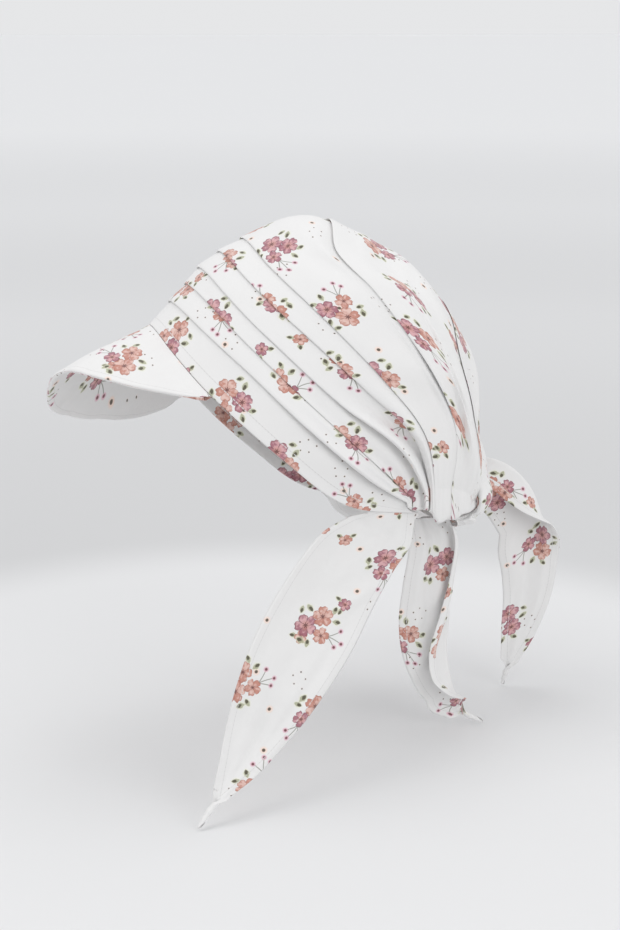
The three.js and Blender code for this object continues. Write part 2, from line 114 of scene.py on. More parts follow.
# Folds and hollows of the soft cloth. Each runs from one (station, height) to another.
# reach is its half width in stations, rise is in millimetres, minus for a hollow.
CREASES = [
    # station, height, to station, to height, reach, rise
    (0.75, 0.62, 0.8, 0.3, 0.28, 1.4),
    (0.5, 0.42, 0.72, 0.08, 0.3, 2.0),
    (1.7, 0.5, 1.75, 0.14, 0.34, 2.4),
    (1.35, 0.3, 1.4, 0.08, 0.22, 1.6),
    (2.55, 0.4, 2.5, 0.1, 0.3, 2.0),
    (3.5, 0.44, 3.6, 0.12, 0.34, -5.2),
    (3.05, 0.36, 3.15, 0.08, 0.24, 2.2),
    (4.5, 0.4, 4.75, 0.14, 0.4, 1.6),
    (5.5, 0.46, 8.4, 0.42, 0.45, 2.0),
    (6.3, 0.36, 8.0, 0.34, 0.6, -1.8),
    (6.1, 0.62, 7.6, 0.56, 0.6, -1.4),
    (5.8, 0.92, 7.3, 0.76, 0.5, -2.2),
    (6.4, 0.97, 7.9, 0.86, 0.4, 1.8),
    (8.75, 0.96, 9.6, 0.88, 0.62, -8.0),
    (8.6, 0.9, 9.0, 0.84, 0.3, -2.6),
    (8.5, 0.8, 10.4, 0.82, 0.5, 2.6),
    (8.9, 0.6, 10.2, 0.4, 0.55, -2.0),
    (12.1, 0.74, 12.4, 0.5, 0.45, -3.0),
    (10.4, 0.34, 13.2, 0.4, 0.8, 2.4),
    (14.1, 0.95, 14.1, 0.3, 0.5, -3.6),
    (9.8, 0.22, 16.0, 0.5, 0.8, 2.2),
    (12.4, 1.0, 13.6, 0.62, 0.4, 3.2),
    (13.3, 0.98, 15.4, 0.52, 0.35, -2.6),
    (15.2, 1.0, 15.0, 0.4, 0.5, 2.6),
    (16.3, 0.92, 15.9, 0.3, 0.4, -2.4),
    (17.6, 1.0, 16.8, 0.35, 0.55, 2.8),
    (18.9, 0.86, 18.4, 0.3, 0.4, -2.2),
    (19.7, 1.0, 19.3, 0.5, 0.4, 1.8),
    (10.0, 1.0, 11.0, 0.78, 0.4, 2.0),
    (9.2, 0.76, 10.1, 0.5, 0.35, 1.6),
]

# Peak: heights of its front edge, as shares of the droop, from its left end at -1 to its right one at 1.
PEAK_EDGE_PLACES = (-1.0, -0.8, -0.55, -0.35, -0.18, 0.0, 0.18, 0.4, 0.62, 0.82, 0.94, 1.0)
PEAK_EDGE_HEIGHTS = (0.0, 0.55, 1.2, 1.45, 1.1, 0.2, -0.48, -0.88, -1.15, -1.2, -0.8, -0.1)
PEAK_SPAN = 0.37  # place across the rim, on both sides, where the peak ends

# Ties. out, back and up place the middle of the cloth, as shares of the drop. wide is a share of the width.
# turn and dip say how the width lies, in degrees. fold is how far the strip along the far edge is turned
# over, in degrees, and cup is the hollow across the tie, as a share of the width.
TIE_COLUMNS = ("out", "back", "up", "wide", "turn", "dip", "fold", "cup")
TURN_RADIUS = 0.002  # of the cloth where a strip is turned over, in metres
TWIST_RADIUS = 0.0021  # of the twisted end of a tie, in metres
TWIST_WINDS = 1.35  # how often the cloth winds round itself there
TWIST_TURN = 5.2  # how far the twisted end turns along its length, in radians
LEFT_TIE = [
    (0.481, 0.3, -0.356, 0.72, 13, 4, 0, -0.05),
    (0.538, 0.2, -0.425, 0.88, 14, 8, 0, -0.09),
    (0.606, 0.1, -0.535, 0.95, 12, 15, 0, -0.08),
    (0.669, 0.005, -0.66, 0.97, 9, 21, 0, -0.05),
    (0.744, -0.1, -0.8, 0.9, 5, 27, 0, -0.05),
    (0.794, -0.18, -0.92, 0.77, 3, 28, 0, -0.05),
    (0.831, -0.245, -1.02, 0.6, 2, 24, 0, -0.05),
    (0.875, -0.31, -1.115, 0.4, 0, 18, 0, -0.04),
    (0.912, -0.381, -1.2, 0.17, -6, 10, 0, -0.02),
]
MIDDLE_TIE = [
    (0.3, 0.6, -0.435, 0.8, 24, 24, 110, 0.02),
    (0.275, 0.645, -0.56, 0.96, 22, 12, 162, 0.04),
    (0.25, 0.63, -0.76, 1.0, 18, 2, 168, 0.05),
    (0.235, 0.615, -0.93, 1.06, 15, 2, 168, 0.05),
    (0.225, 0.622, -1.1, 1.14, 13, 4, 165, 0.05),
    (0.217, 0.656, -1.24, 1.1, 13, 10, 150, 0.05),
    (0.203, 0.714, -1.36, 0.82, 10, 4, 90, 0.03),
    (0.188, 0.8, -1.435, 0.42, 6, -10, 0, 0.0),
]
MIDDLE_TURNED = (0.2, 0.2, 0.22, 0.29, 0.42, 0.5, 0.5, 0.45)  # share of its width turned over, row by row
RIGHT_TIE = [
    (-0.372, 0.37, -0.46, 0.85, -8, -6, 0, 0.0),
    (-0.42, 0.5, -0.51, 0.9, -10, -36, 0, 0.03),
    (-0.43, 0.645, -0.49, 0.95, -10, -66, 30, 0.04),
    (-0.365, 0.785, -0.42, 1.12, -10, -74, 90, 0.04),
    (-0.25, 0.885, -0.37, 1.36, -10, -66, 150, 0.04),
    (-0.225, 0.955, -0.43, 1.4, -4, -42, 158, 0.05),
    (-0.22, 1.015, -0.55, 1.22, 2, -22, 90, 0.06),
    (-0.225, 1.055, -0.68, 1.0, 6, -8, 20, 0.06),
    (-0.232, 1.065, -0.83, 0.88, 6, -2, 0, 0.05),
    (-0.238, 1.035, -1.0, 0.66, 8, 8, 0, 0.04),
    (-0.238, 1.0, -1.13, 0.36, 8, 16, 0, 0.02),
]

# Where each tie is sewn on: (station, place across the crown at its near edge, at its far edge)
LEFT_ROOT = (-0.02, -0.775, -0.97)
MIDDLE_ROOT = (LAST + 0.02, -0.95, -0.6)
RIGHT_ROOT = (-0.02, 0.76, 0.93)

# Creases of the ties: (place along, place across, to along, to across, reach, rise in millimetres). Along
# runs from 0 below the crown to 1 at the twisted end, across from 0 at the near edge to 1 at the far one.
LEFT_CREASES = [
    (0.14, 1.0, 0.3, 0.68, 0.07, 1.8),
    (0.12, 0.86, 0.26, 0.56, 0.08, -1.4),
    (0.28, 0.92, 0.85, 0.9, 0.06, 1.2),
    (0.3, 0.8, 0.8, 0.76, 0.06, -0.9),
    (0.02, 0.3, 0.3, 0.36, 0.1, -1.8),
    (0.02, 0.58, 0.22, 0.5, 0.08, 1.2),
    (0.5, 0.3, 0.95, 0.45, 0.1, 1.1),
    (0.62, 0.55, 0.98, 0.6, 0.07, -1.0),
]
MIDDLE_CREASES = [
    (0.05, 0.5, 0.5, 0.42, 0.1, -1.8),
    (0.03, 0.26, 0.42, 0.2, 0.1, 1.3),
    (0.42, 0.86, 0.66, 0.2, 0.08, 2.0),
    (0.36, 0.7, 0.58, 0.12, 0.08, -1.2),
    (0.68, 0.6, 0.98, 0.5, 0.1, 1.4),
]
RIGHT_CREASES = [
    (0.05, 0.4, 0.45, 0.3, 0.1, 1.4),
    (0.5, 0.45, 0.9, 0.5, 0.1, -1.3),
    (0.55, 0.75, 0.95, 0.7, 0.08, 1.1),
]

SEWN_BELOW = 0.0006  # distance of the ties' roots below the crown, in metres
TIES = [
    # name, rows, tip as shares of the drop, root, creases, share turned over, seed
    ("left_tie", LEFT_TIE, (0.972, -0.478, -1.303), LEFT_ROOT, LEFT_CREASES, 0.3, 1),
    ("middle_tie", MIDDLE_TIE, (0.2, 0.94, -1.508), MIDDLE_ROOT, MIDDLE_CREASES, MIDDLE_TURNED, 2),
    ("right_tie", RIGHT_TIE, (-0.238, 0.968, -1.244), RIGHT_ROOT, RIGHT_CREASES, 0.42, 3),
]

# Where each piece is cut from the printed cloth, in metres
CUT_PLACES = {
    "front_panel": (0.012, 0.02),
    "back_panel": (0.03, 0.31),
    "peak_top": (0.2, 0.13),
    "peak_under": (0.3, 0.19),
    "left_tie": (0.4, 0.1),
    "middle_tie": (0.52, 0.23),
    "right_tie": (0.63, 0.37),
}


def length_of(name, description, default):
    """A length that a user may change, in metres."""
    return bpy.props.FloatProperty(
        name=name, description=description, default=default, unit="LENGTH", subtype="DISTANCE")


def width_and_drop(name, default):
    """The width and the drop of a tie, in metres."""
    return bpy.props.FloatVectorProperty(
        name=name, description="Width and drop", size=2, default=default, unit="LENGTH")


def colour_of(name, description, default):
    """A colour that a user may change."""
    return bpy.props.FloatVectorProperty(
        name=name, description=description, size=3, subtype="COLOR", default=default)


class HatSizes(bpy.types.PropertyGroup):
    """Sizes of the hat."""

    crown_length: length_of("Crown length", "From the peak's seam to the back of the slouch", 0.218)
    crown_height: length_of("Crown height", "From the bottom of the back panel to the crest", 0.202)
    crown_width: length_of("Crown width", "Over the ears", 0.152)
    nape_width: length_of("Nape width", "Between the two gathered ends", 0.112)
    pinch_radius: length_of("Pinch radius", "Radius of the gathered cloth at the nape", 0.003)
    worn_tilt: bpy.props.FloatProperty(
        name="Worn tilt", description="How far the hat leans down over the right ear",
        default=math.radians(10), unit="ROTATION", subtype="ANGLE")
    hem: length_of("Hem", "Width of the turned hem along every edge", 0.006)
    hem_gap: length_of("Hem gap", "Distance between the cloth and its turned hem", 0.0009)
    peak_reach: length_of("Peak reach", "From the temples to the front edge", 0.096)
    peak_width: length_of("Peak width", "Across the widest part of the peak", 0.137)
    peak_droop: length_of("Peak droop", "Scale of the front edge's rise and fall", 0.013)
    peak_thickness: length_of("Peak thickness", "Thickness of the covered peak", 0.0024)
    left_tie: width_and_drop("Left tie", (0.064, 0.160))
    middle_tie: width_and_drop("Middle tie", (0.043, 0.138))
    right_tie: width_and_drop("Right tie", (0.042, 0.168))
    floor_height: length_of("Floor height", "Height of the floor below the head opening", -0.2105)


class HatColours(bpy.types.PropertyGroup):
    """Colours of the cloth, its print and the floor."""

    cloth: colour_of("Cloth", "Ground of the cotton", (0.82, 0.815, 0.81))
    salmon: colour_of("Salmon", "Petals of the salmon blossoms", (0.54, 0.235, 0.18))
    salmon_rim: colour_of("Salmon rim", "Outline of the salmon petals", (0.38, 0.14, 0.1))
    salmon_throat: colour_of("Salmon throat", "Middle of the salmon blossoms", (0.76, 0.53, 0.47))
    mauve: colour_of("Mauve", "Petals of the mauve blossoms", (0.37, 0.14, 0.18))
    mauve_rim: colour_of("Mauve rim", "Outline of the mauve petals", (0.18, 0.055, 0.075))
    mauve_throat: colour_of("Mauve throat", "Middle of the mauve blossoms", (0.68, 0.39, 0.41))
    heart: colour_of("Heart", "Heart of the blossoms", (0.12, 0.025, 0.022))
    leaf: colour_of("Leaf", "Leaves", (0.37, 0.38, 0.24))
    # This ink is also mixed a little into the needle holes, as painted shade.
    ink_and_hole_shade: colour_of("Ink", "Dots, twigs and the blots on the leaves", (0.05, 0.037, 0.022))
    # The thread's grey is painted shade: the thread is white, and the grey stands in for the shade that shows
    # white stitches on white cloth.
    thread: colour_of("Thread", "Sewing thread", (0.72, 0.715, 0.71))
    floor: colour_of("Floor", "Floor under the hat", (0.785, 0.787, 0.792))


def curve_at(places, values, at):
    """A smooth curve through the values at the given places, carried on straight past both ends."""
    places = np.asarray(places, float)
    values = np.asarray(values, float)
    at = np.asarray(at, float)
    last = len(places) - 1
    before = np.maximum(np.arange(last + 1) - 1, 0)
    after = np.minimum(np.arange(last + 1) + 1, last)
    slopes = (values[after] - values[before]) / (places[after] - places[before])
    i = np.clip(np.searchsorted(places, at, side="right") - 1, 0, last - 1)
    span = places[i + 1] - places[i]
    t = (at - places[i]) / span
    inside = np.clip(t, 0, 1)
    t2 = inside**2
    t3 = inside**3
    curve = (
        (2 * t3 - 3 * t2 + 1) * values[i]
        + (t3 - 2 * t2 + inside) * span * slopes[i]
        + (3 * t2 - 2 * t3) * values[i + 1]
        + (t3 - t2) * span * slopes[i + 1]
    )
    low = np.minimum(t, 0) * span * slopes[0]
    high = np.maximum(t - 1, 0) * span * slopes[last]
    return curve + low + high


def smooth(value, low, high):
    """0 below low, 1 above high, and a smooth step between them."""
    t = np.clip((value - low) / (high - low), 0, 1)
    return t * t * (3 - 2 * t)


def ripple(x, y, seed):
    """A soft bumpy field between about -1 and 1, the same each time for the same seed."""
    golden = 2.399963
    total = 0.0
    for k in range(7):
        angle = golden * (k + 1) + 1.7 * seed
        pitch = 1 + 0.37 * k
        way = x * math.cos(angle) + y * math.sin(angle)
        total = total + np.sin(pitch * way + 2.1 * seed + 1.3 * k) / pitch
    return total / 1.9


def section_value(name, station):
    """A column of the sections at any station between them."""
    column = SECTION_COLUMNS.index(name)
    return curve_at(range(LAST + 1), [row[column] for row in SECTIONS], station)


def section_height(across):
    """Height on a section, as a share from the nape to the crest, at a place across it."""
    part = np.abs(across)
    above = WIDEST_SHARE + (1 - WIDEST_SHARE) * np.cos(part / CREST_SHARE * 0.5 * math.pi)
    below = WIDEST_SHARE * (1 - np.sin((part - CREST_SHARE) / (1 - CREST_SHARE) * 0.5 * math.pi))
    return np.where(part < CREST_SHARE, above, below)


def crown_points(sizes, station, across, lift):
    """Points of the crown, in the worn place, in a row for each station and a column for each place across,
    from -1 at the left gathered end to 1 at the right one. lift is the height off the plain form."""
    length = sizes.crown_length
    height = sizes.crown_height
    s = np.asarray(station, float)[:, None]
    nape_back = section_value("nape_back", s) * length
    nape_up = section_value("nape_up", s) * height
    step_back = section_value("crest_back", s) * length - nape_back
    step_up = section_value("crest_up", s) * height - nape_up
    reach = np.hypot(step_back, step_up)
    part = np.abs(across)[None, :]
    above = part < CREST_SHARE
    angle = np.where(above, part / CREST_SHARE, (part - CREST_SHARE) / (1 - CREST_SHARE)) * 0.5 * math.pi
    half = section_value("wide", s) * 0.5 * sizes.crown_width + lift
    end = 0.5 * sizes.nape_width + lift
    side = np.where(above, half * np.sin(angle), end + (half - end) * np.cos(angle))
    widest = WIDEST_SHARE * reach
    tall = np.where(
        above,
        widest + (reach + lift - widest) * np.cos(angle),
        widest - (widest - sizes.pinch_radius) * np.sin(angle),
    )
    share = np.minimum(1, tall / reach)
    bow = bow_at(s, share) * height
    back = (step_back * tall + step_up * bow) / reach
    up = (step_up * tall - step_back * bow) / reach
    spread = MM * curve_at(SPREAD_STATIONS, SPREAD_BACK, s) * (1 - smooth(share, 0.05, 0.5))
    points = np.stack([-np.sign(across)[None, :] * side, nape_back + back + spread, nape_up + up], axis=2)
    return worn(sizes, points)


def hanging_ends(points, station, across):
    """Lets the ends of the gathered rows hang down and curl inwards below the nape."""
    drop = MM * curve_at(HANG_STATIONS, HANG_DROPS, station)
    share = smooth(drop, 0.0, HANG_SET)
    for side in (-1, 1):
        past = np.clip((np.abs(across) - HANG_START) / (1 - HANG_START), 0, 1) * (np.sign(across) == side)
        columns = np.nonzero(past)[0]
        start = columns[0] - 1 if side > 0 else columns[-1] + 1
        for i in range(len(station)):
            top = points[i, start]
            uneven = 1 + 0.05 * math.sin(1.9 * station[i] + 2 * side)
            curl = min(END_CURL, 0.5 * max(drop[i], 0.0) + 1e-5)
            straight = max(drop[i] * uneven - curl, 0.0)
            run = past[columns] * (straight + END_TURN * curl)
            turn = np.maximum(run - straight, 0.0) / curl
            hung = np.stack([
                top[0] - side * (0.0012 * np.sin(math.pi * past[columns]) - curl * (1 - np.cos(turn))),
                top[1] + 0.0008 * np.sin(3.1 * station[i]) * past[columns] ** 2,
                top[2] - np.minimum(run, straight) - curl * np.sin(turn),
            ], axis=1)
            points[i, columns] += share[i] * (hung - points[i, columns])
    return points


def bow_at(station, share):
    """How far a section bends out of its plane at a share of its height."""
    places = (0, *BOW_HEIGHTS, 1)
    names = ("bow_nape", "bow_ear", "bow_temple", "bow_crest")
    flat = np.zeros_like(station)
    values = [flat, *(section_value(name, station) for name in names), flat]
    rows = [curve_at(places, [float(v[i, 0]) for v in values], share[i]) for i in range(len(station))]
    return np.stack(rows)


def leaned(points, tilt):
    """Points turned by an angle round the line that runs from front to back."""
    c = math.cos(tilt)
    s = math.sin(tilt)
    x = points[..., 0]
    z = points[..., 2]
    return np.stack([c * x + s * z, points[..., 1], c * z - s * x], axis=-1)


def worn(sizes, points):
    """Leans points of the upright hat down over the right ear."""
    return leaned(points, -sizes.worn_tilt)


def crease_rise(first, second, creases, first_scale=1.0, second_scale=1.0):
    """Rise of folds and hollows, in millimetres. Each runs between two places, given by two numbers each."""
    total = 0.0
    for a0, b0, a1, b1, reach, rise in creases:
        along_a = (a1 - a0) * first_scale
        along_b = (b1 - b0) * second_scale
        da = (first - a0) * first_scale
        db = (second - b0) * second_scale
        t = np.clip((da * along_a + db * along_b) / (along_a**2 + along_b**2), 0, 1)
        far = np.hypot(da - t * along_a, db - t * along_b)
        total = total + rise * np.exp(-((far / reach) ** 2)) * (0.55 + 0.45 * np.sin(math.pi * t))
    return total


def gather_lift(station, height, side):
    """Rise of the small folds that fan out of the gathered ends, in millimetres."""
    wander = 0.5 * ripple(station * 1.3, height * 5, 3 + side)
    low = smooth(height, 0.02, 0.1) * (1 - smooth(height, 0.2, 0.5))
    fan = np.sin(2 * math.pi * (0.46 * station + wander)) * low
    broad = np.sin(2 * math.pi * (0.33 * station + 0.7 * wander + 0.2 * side))
    behind = smooth(station, SEAM - 1.5, SEAM + 1.0)
    full = smooth(station, 4.6, 6.4)
    long = broad * smooth(height, 0.06, 0.3) * (1 - smooth(height, 0.5, 0.85)) * behind
    loose = ripple(station * 2.1, height * 9, 7 + side)
    return 1.8 * fan * (0.7 + 0.3 * loose) * (1 - full) + 2.0 * long + 0.4 * loose * (0.4 + 0.6 * behind)


def soft_lift(station, across):
    """Rise of all the soft folds for rows of stations and columns of places, in metres."""
    height = section_height(across)[None, :]
    s = np.asarray(station, float)[:, None]
    tall = 6.0  # stations that the whole height counts for, so reach is alike both ways
    left = crease_rise(s, height, CREASES, 1.0, tall) + gather_lift(s, height, -1.0)
    right = 0.8 * crease_rise(s + 0.15, height, CREASES, 1.0, tall) + gather_lift(s, height, 1.0)
    mix = smooth(across, -0.12, 0.12)[None, :]
    return MM * (left * (1 - mix) + right * mix) * smooth(height, 0.0, 0.06)


def tuck_rows():
    """Rows of the front panel: (station, tuck that lifts it, share of that lift, depth inside)."""
    lip = 0.07  # stations by which a folded edge hangs over the strip in front
    under = 0.22  # stations that the cloth goes on below it before it turns back
    rows = []
    for station in np.linspace(0.34, 0.02, 7):
        rows.append((station, 0, 0.0, 1.0))
    for depth in (0.85, 0.5, 0.15):
        rows.append((-0.02 * math.sin(math.pi * depth), 0, 0.0, depth))
    for station in np.linspace(0.0, 1.0, 20):
        rows.append((station, 0, 0.0, 0.0))
    for tuck in range(1, TUCKS + 1):
        for step in np.linspace(0.3, 1, 4):
            rows.append((tuck + under * step, tuck, 0.0, 0.0))
        for turn in (0.1, 0.2, 0.3):
            rows.append((tuck + under + 0.02 * math.sin(math.pi * turn / 0.4), tuck, turn, 0.0))
        for step in np.linspace(1, 0, 6):
            rows.append((tuck - lip + (under + lip) * step, tuck, 0.36 + 0.06 * (1 - step), 0.0))
        for turn in (0.25, 0.5, 0.75):
            angle = math.pi * turn
            rows.append((tuck - lip - 0.05 * math.sin(angle), tuck, 0.71 - 0.29 * math.cos(angle), 0.0))
        last = tuck == TUCKS
        length = 3.7 if last else 1.0
        for step in np.linspace(0, 1, 50 if last else 17):
            place = step * (length + lip)
            fall = min(1, place / (1.9 if last else 1.0))
            share = (1 - fall) * (1 + 0.35 * fall) + 0.04
            rows.append((tuck - lip + place, tuck, share, 0.0))
    return rows


def strip_breaks(rows):
    """Numbers of the rows where the cloth turns over, between one strip and the next."""
    stations = [row[0] for row in rows]
    breaks = []
    for i in range(1, len(rows) - 1):
        forward = stations[i] - stations[i - 1]
        onward = stations[i + 1] - stations[i]
        if forward < 0 <= onward or onward < 0 <= forward:
            breaks.append(i)
    return breaks


def front_grid(sizes, across):
    """Points of the front panel: its rim with a turned hem, and the strips that its tucks lay together."""
    rows = tuck_rows()
    station = np.array([row[0] for row in rows])
    share = np.array([row[2] for row in rows])
    depth = np.array([row[3] for row in rows])
    height = section_height(across)
    lifts = np.zeros((len(rows), len(across)))
    for i, (_, tuck, part, _) in enumerate(rows):
        if tuck:
            lifts[i] = curve_at(TUCK_HEIGHTS, TUCK_LIFTS[tuck - 1], height) * part * MM
    lift = lifts + soft_lift(station, across) - (depth * sizes.hem_gap)[:, None]
    wave = 0.035 * ripple(height * 7, 0.0, 5)[None, :] * (share[:, None] > 0)
    return hanging_ends(crown_points_waved(sizes, station, across, lift, wave), station, across)


def crown_points_waved(sizes, station, across, lift, wave):
    """Points of the crown whose stations wander a little across the cloth, by wave."""
    points = crown_points(sizes, station, across, lift)
    ahead = crown_points(sizes, station + 0.05, across, lift)
    return points + (ahead - points) * (wave / 0.05)[..., None]


def back_rows():
    """Rows of the back panel: (station, share of the lift, depth inside, whether the fold lifts it)."""
    lip = 0.08
    rows = []
    for station in np.linspace(SEAM + 0.3, SEAM - lip, 6):
        rows.append((station, 0.42, 0.0, False))
    for turn in (0.25, 0.5, 0.75):
        angle = math.pi * turn
        rows.append((SEAM - lip - 0.05 * math.sin(angle), 0.71 - 0.29 * math.cos(angle), 0.0, False))
    for station in np.linspace(SEAM - lip, BACK_FOLD + 0.25, 46):
        fall = min(1, (station - SEAM + lip) / 1.8)
        rows.append((station, (1 - fall) * (1 + 0.3 * fall), 0.0, False))
    for turn in (0.1, 0.2, 0.3):
        rows.append((BACK_FOLD + 0.25 + 0.02 * math.sin(math.pi * turn / 0.4), turn, 0.0, True))
    for step in np.linspace(1, 0, 5):
        rows.append((BACK_FOLD - lip + (0.25 + lip) * step, 0.4, 0.0, True))
    for turn in (0.25, 0.5, 0.75):
        angle = math.pi * turn
        rows.append((BACK_FOLD - lip - 0.04 * math.sin(angle), 0.7 - 0.3 * math.cos(angle), 0.0, True))
    for station in np.linspace(BACK_FOLD - lip, LAST, 104):
        fall = min(1, (station - BACK_FOLD + lip) / 1.5)
        rows.append((station, (1 - fall) * (1 + 0.3 * fall), 0.0, True))
    for depth in (0.15, 0.5, 0.85):
        rows.append((LAST + 0.03 * math.sin(math.pi * depth), 0.0, depth, True))
    for station in np.linspace(LAST, LAST - 0.9, 7):
        rows.append((station, 0.0, 1.0, True))
    return rows


def back_grid(sizes, across):
    """Points of the back panel: its seam, the fold down the back and the slouching bag with a turned hem."""
    rows = back_rows()
    station = np.array([row[0] for row in rows])
    height = section_height(across)
    by_fold = np.array([row[3] for row in rows])[:, None]
    seam = curve_at(TUCK_HEIGHTS, SEAM_LIFTS, height)[None, :] * MM
    fold = curve_at(TUCK_HEIGHTS, BACK_FOLD_LIFTS, height)[None, :] * MM
    share = np.array([row[1] for row in rows])[:, None]
    depth = np.array([row[2] for row in rows])[:, None]
    lift = np.where(by_fold, fold, seam) * share + soft_lift(station, across) - depth * sizes.hem_gap
    wander = curve_at(TUCK_HEIGHTS, SEAM_WANDER, height)[None, :]
    wave = wander * (1 - smooth(station, SEAM, SEAM + 3)[:, None])
    return hanging_ends(crown_points_waved(sizes, station, across, lift, wave), station, across)


def peak_grid(sizes, columns, rows):
    """The peak as one sheet: out along its upper face, round its edge and back along its lower face."""
    around = np.linspace(-1, 1, columns)
    start = -0.03
    seam = crown_upright(sizes, start, around * PEAK_SPAN, 0.0)
    seam_in = crown_upright(sizes, start, around * PEAK_SPAN, -sizes.peak_thickness)
    temple = crown_upright(sizes, start, np.array([PEAK_SPAN]), 0.0)[0]
    angle = around * 0.5 * math.pi
    side = np.sign(angle) * np.abs(np.sin(angle)) ** 0.86
    end = 0.004
    edge = np.stack([
        -0.5 * sizes.peak_width * side * (1 - 0.03 * np.abs(around) ** 6),
        temple[1] - end - (sizes.peak_reach - end) * np.cos(angle) ** 0.78,
        temple[2] + sizes.peak_droop * curve_at(PEAK_EDGE_PLACES, PEAK_EDGE_HEIGHTS, around),
    ], axis=1)
    along = np.linspace(0, 1, rows)[:, None, None]
    upper = seam[None] * (1 - along) + edge[None] * along
    bulge = 0.003 * np.sin(math.pi * along[..., 0]) * np.cos(0.5 * math.pi * around)[None]
    pucker = 0.00035 * ripple(around[None] * 34, along[..., 0] * 6, 2) * smooth(along[..., 0], 0.05, 0.4)
    upper[..., 2] += bulge + pucker
    normal = np.cross(np.gradient(upper, axis=0), np.gradient(upper, axis=1))
    normal /= np.linalg.norm(normal, axis=2, keepdims=True) + 1e-12
    normal *= -np.sign(normal[..., 2:3])
    blend = smooth(along, 0.0, 0.4)
    wall = (seam_in - seam)[None]
    lower = upper + wall * (1 - blend) + normal * sizes.peak_thickness * blend
    outward = edge - upper[-2]
    outward /= np.linalg.norm(outward, axis=1, keepdims=True)
    rounding = []
    for turn in np.linspace(0, math.pi, 9)[1:-1]:
        middle = 0.5 * (upper[-1] + lower[-1])
        arm = 0.5 * (upper[-1] - lower[-1])
        rounding.append(middle + arm * math.cos(turn) + outward * 0.5 * sizes.peak_thickness * math.sin(turn))
    return worn(sizes, np.concatenate([upper, np.array(rounding), lower[::-1]]))


def crown_upright(sizes, station, across, lift):
    """A row of points of the upright crown."""
    return leaned(crown_points(sizes, np.array([station]), across, lift)[0], sizes.worn_tilt)


def path_through(points, at):
    """Places on a smooth path through the points, whose knots follow the square root of their distance."""
    points = np.asarray(points, float)
    first = 2 * points[0] - points[1]
    final = 2 * points[-1] - points[-2]
    chain = np.vstack([first, points, final])
    places = []
    for value in at:
        i = min(int(value), len(points) - 2)
        w = value - i
        p0, p1, p2, p3 = chain[i:i + 4]
        d0 = np.linalg.norm(p1 - p0) ** 0.5
        d1 = np.linalg.norm(p2 - p1) ** 0.5
        d2 = np.linalg.norm(p3 - p2) ** 0.5
        t1 = ((p1 - p0) / d0 - (p2 - p0) / (d0 + d1) + (p2 - p1) / d1) * d1
        t2 = ((p2 - p1) / d1 - (p3 - p1) / (d1 + d2) + (p3 - p2) / d2) * d1
        cubic = 2 * p1 - 2 * p2 + t1 + t2
        square = -3 * p1 + 3 * p2 - 2 * t1 - t2
        places.append(p1 + t1 * w + square * w**2 + cubic * w**3)
    return np.array(places)


def tie_section(place, width, fold, cup, fold_share):
    """Offsets along the width and out of the face at places 0 to 1 across a tie, whose far strip is turned
    over."""
    radius = TURN_RADIUS
    strip = fold_share * width
    main = width - strip
    half = 0.5 * (main + max(0.0, strip * math.cos(fold)))
    run = place * width
    beyond = np.maximum(0, run - main)
    turned = np.minimum(fold, beyond / radius)
    straight = np.maximum(0, beyond - radius * fold)
    along = np.minimum(run, main) + radius * np.sin(turned) + straight * math.cos(fold) - half
    bowl = cup * (1 - (2 * np.minimum(run, main) / width - 1) ** 2)
    out = bowl + radius * (1 - np.cos(turned)) + straight * math.sin(fold)
    return along, out


def tie_grid(sizes, table, width, drop, tip, root, creases, fold_share, seed, rows=150, columns=44):
    """The cloth of a tie, from its root below the crown to its twisted tip, with a hem along both edges."""
    table = np.array(table, float)
    last = len(table) - 1
    at = np.linspace(0, last, rows)
    centres = path_through(table[:, :3] * drop, at)
    tangents = np.gradient(centres, axis=0)
    tangents /= np.linalg.norm(tangents, axis=1, keepdims=True)
    column = {name: curve_at(range(last + 1), table[:, k], at) for k, name in enumerate(TIE_COLUMNS)}
    shares = np.atleast_1d(fold_share)
    shares = np.interp(at, np.linspace(0, last, len(shares)), shares)
    hem = sizes.hem
    gap = sizes.hem_gap
    grid = []
    for i in range(rows):
        turn = math.radians(column["turn"][i])
        dip = math.radians(column["dip"][i])
        across = np.array([-math.sin(turn) * math.cos(dip), math.cos(turn) * math.cos(dip), -math.sin(dip)])
        across -= 0.6 * across.dot(tangents[i]) * tangents[i]
        across /= np.linalg.norm(across)
        face = np.cross(tangents[i], across)
        face /= np.linalg.norm(face)
        cloth = max(0.006, column["wide"][i] * width)
        fold = math.radians(max(0.0, column["fold"][i]))
        cup = column["cup"][i] * width
        edge = min(hem, 0.3 * cloth) / cloth
        place = np.concatenate([
            np.linspace(edge, 0.006, 5), np.linspace(0, 1, columns), np.linspace(0.994, 1 - edge, 5)
        ])
        depth = np.zeros(len(place))
        depth[:5] = gap
        depth[-5:] = gap
        depth[5] = 0.5 * gap
        depth[-6] = 0.5 * gap
        a, b = tie_section(place, cloth, fold, cup, shares[i])
        rate_a, rate_b = tie_section(place + 1e-4, cloth, fold, cup, shares[i])
        slope_a = rate_a - a
        slope_b = rate_b - b
        size = np.hypot(slope_a, slope_b) + 1e-12
        a = a + depth * slope_b / size
        b = b - depth * slope_a / size
        wave = tie_wave(place, at[i] / last, cloth, creases, seed)
        grid.append(centres[i] + np.outer(a, across) + np.outer(b + wave, face))
    grid = np.array(grid)
    return add_twist(lead_in(grid, root), np.array(tip) * drop)


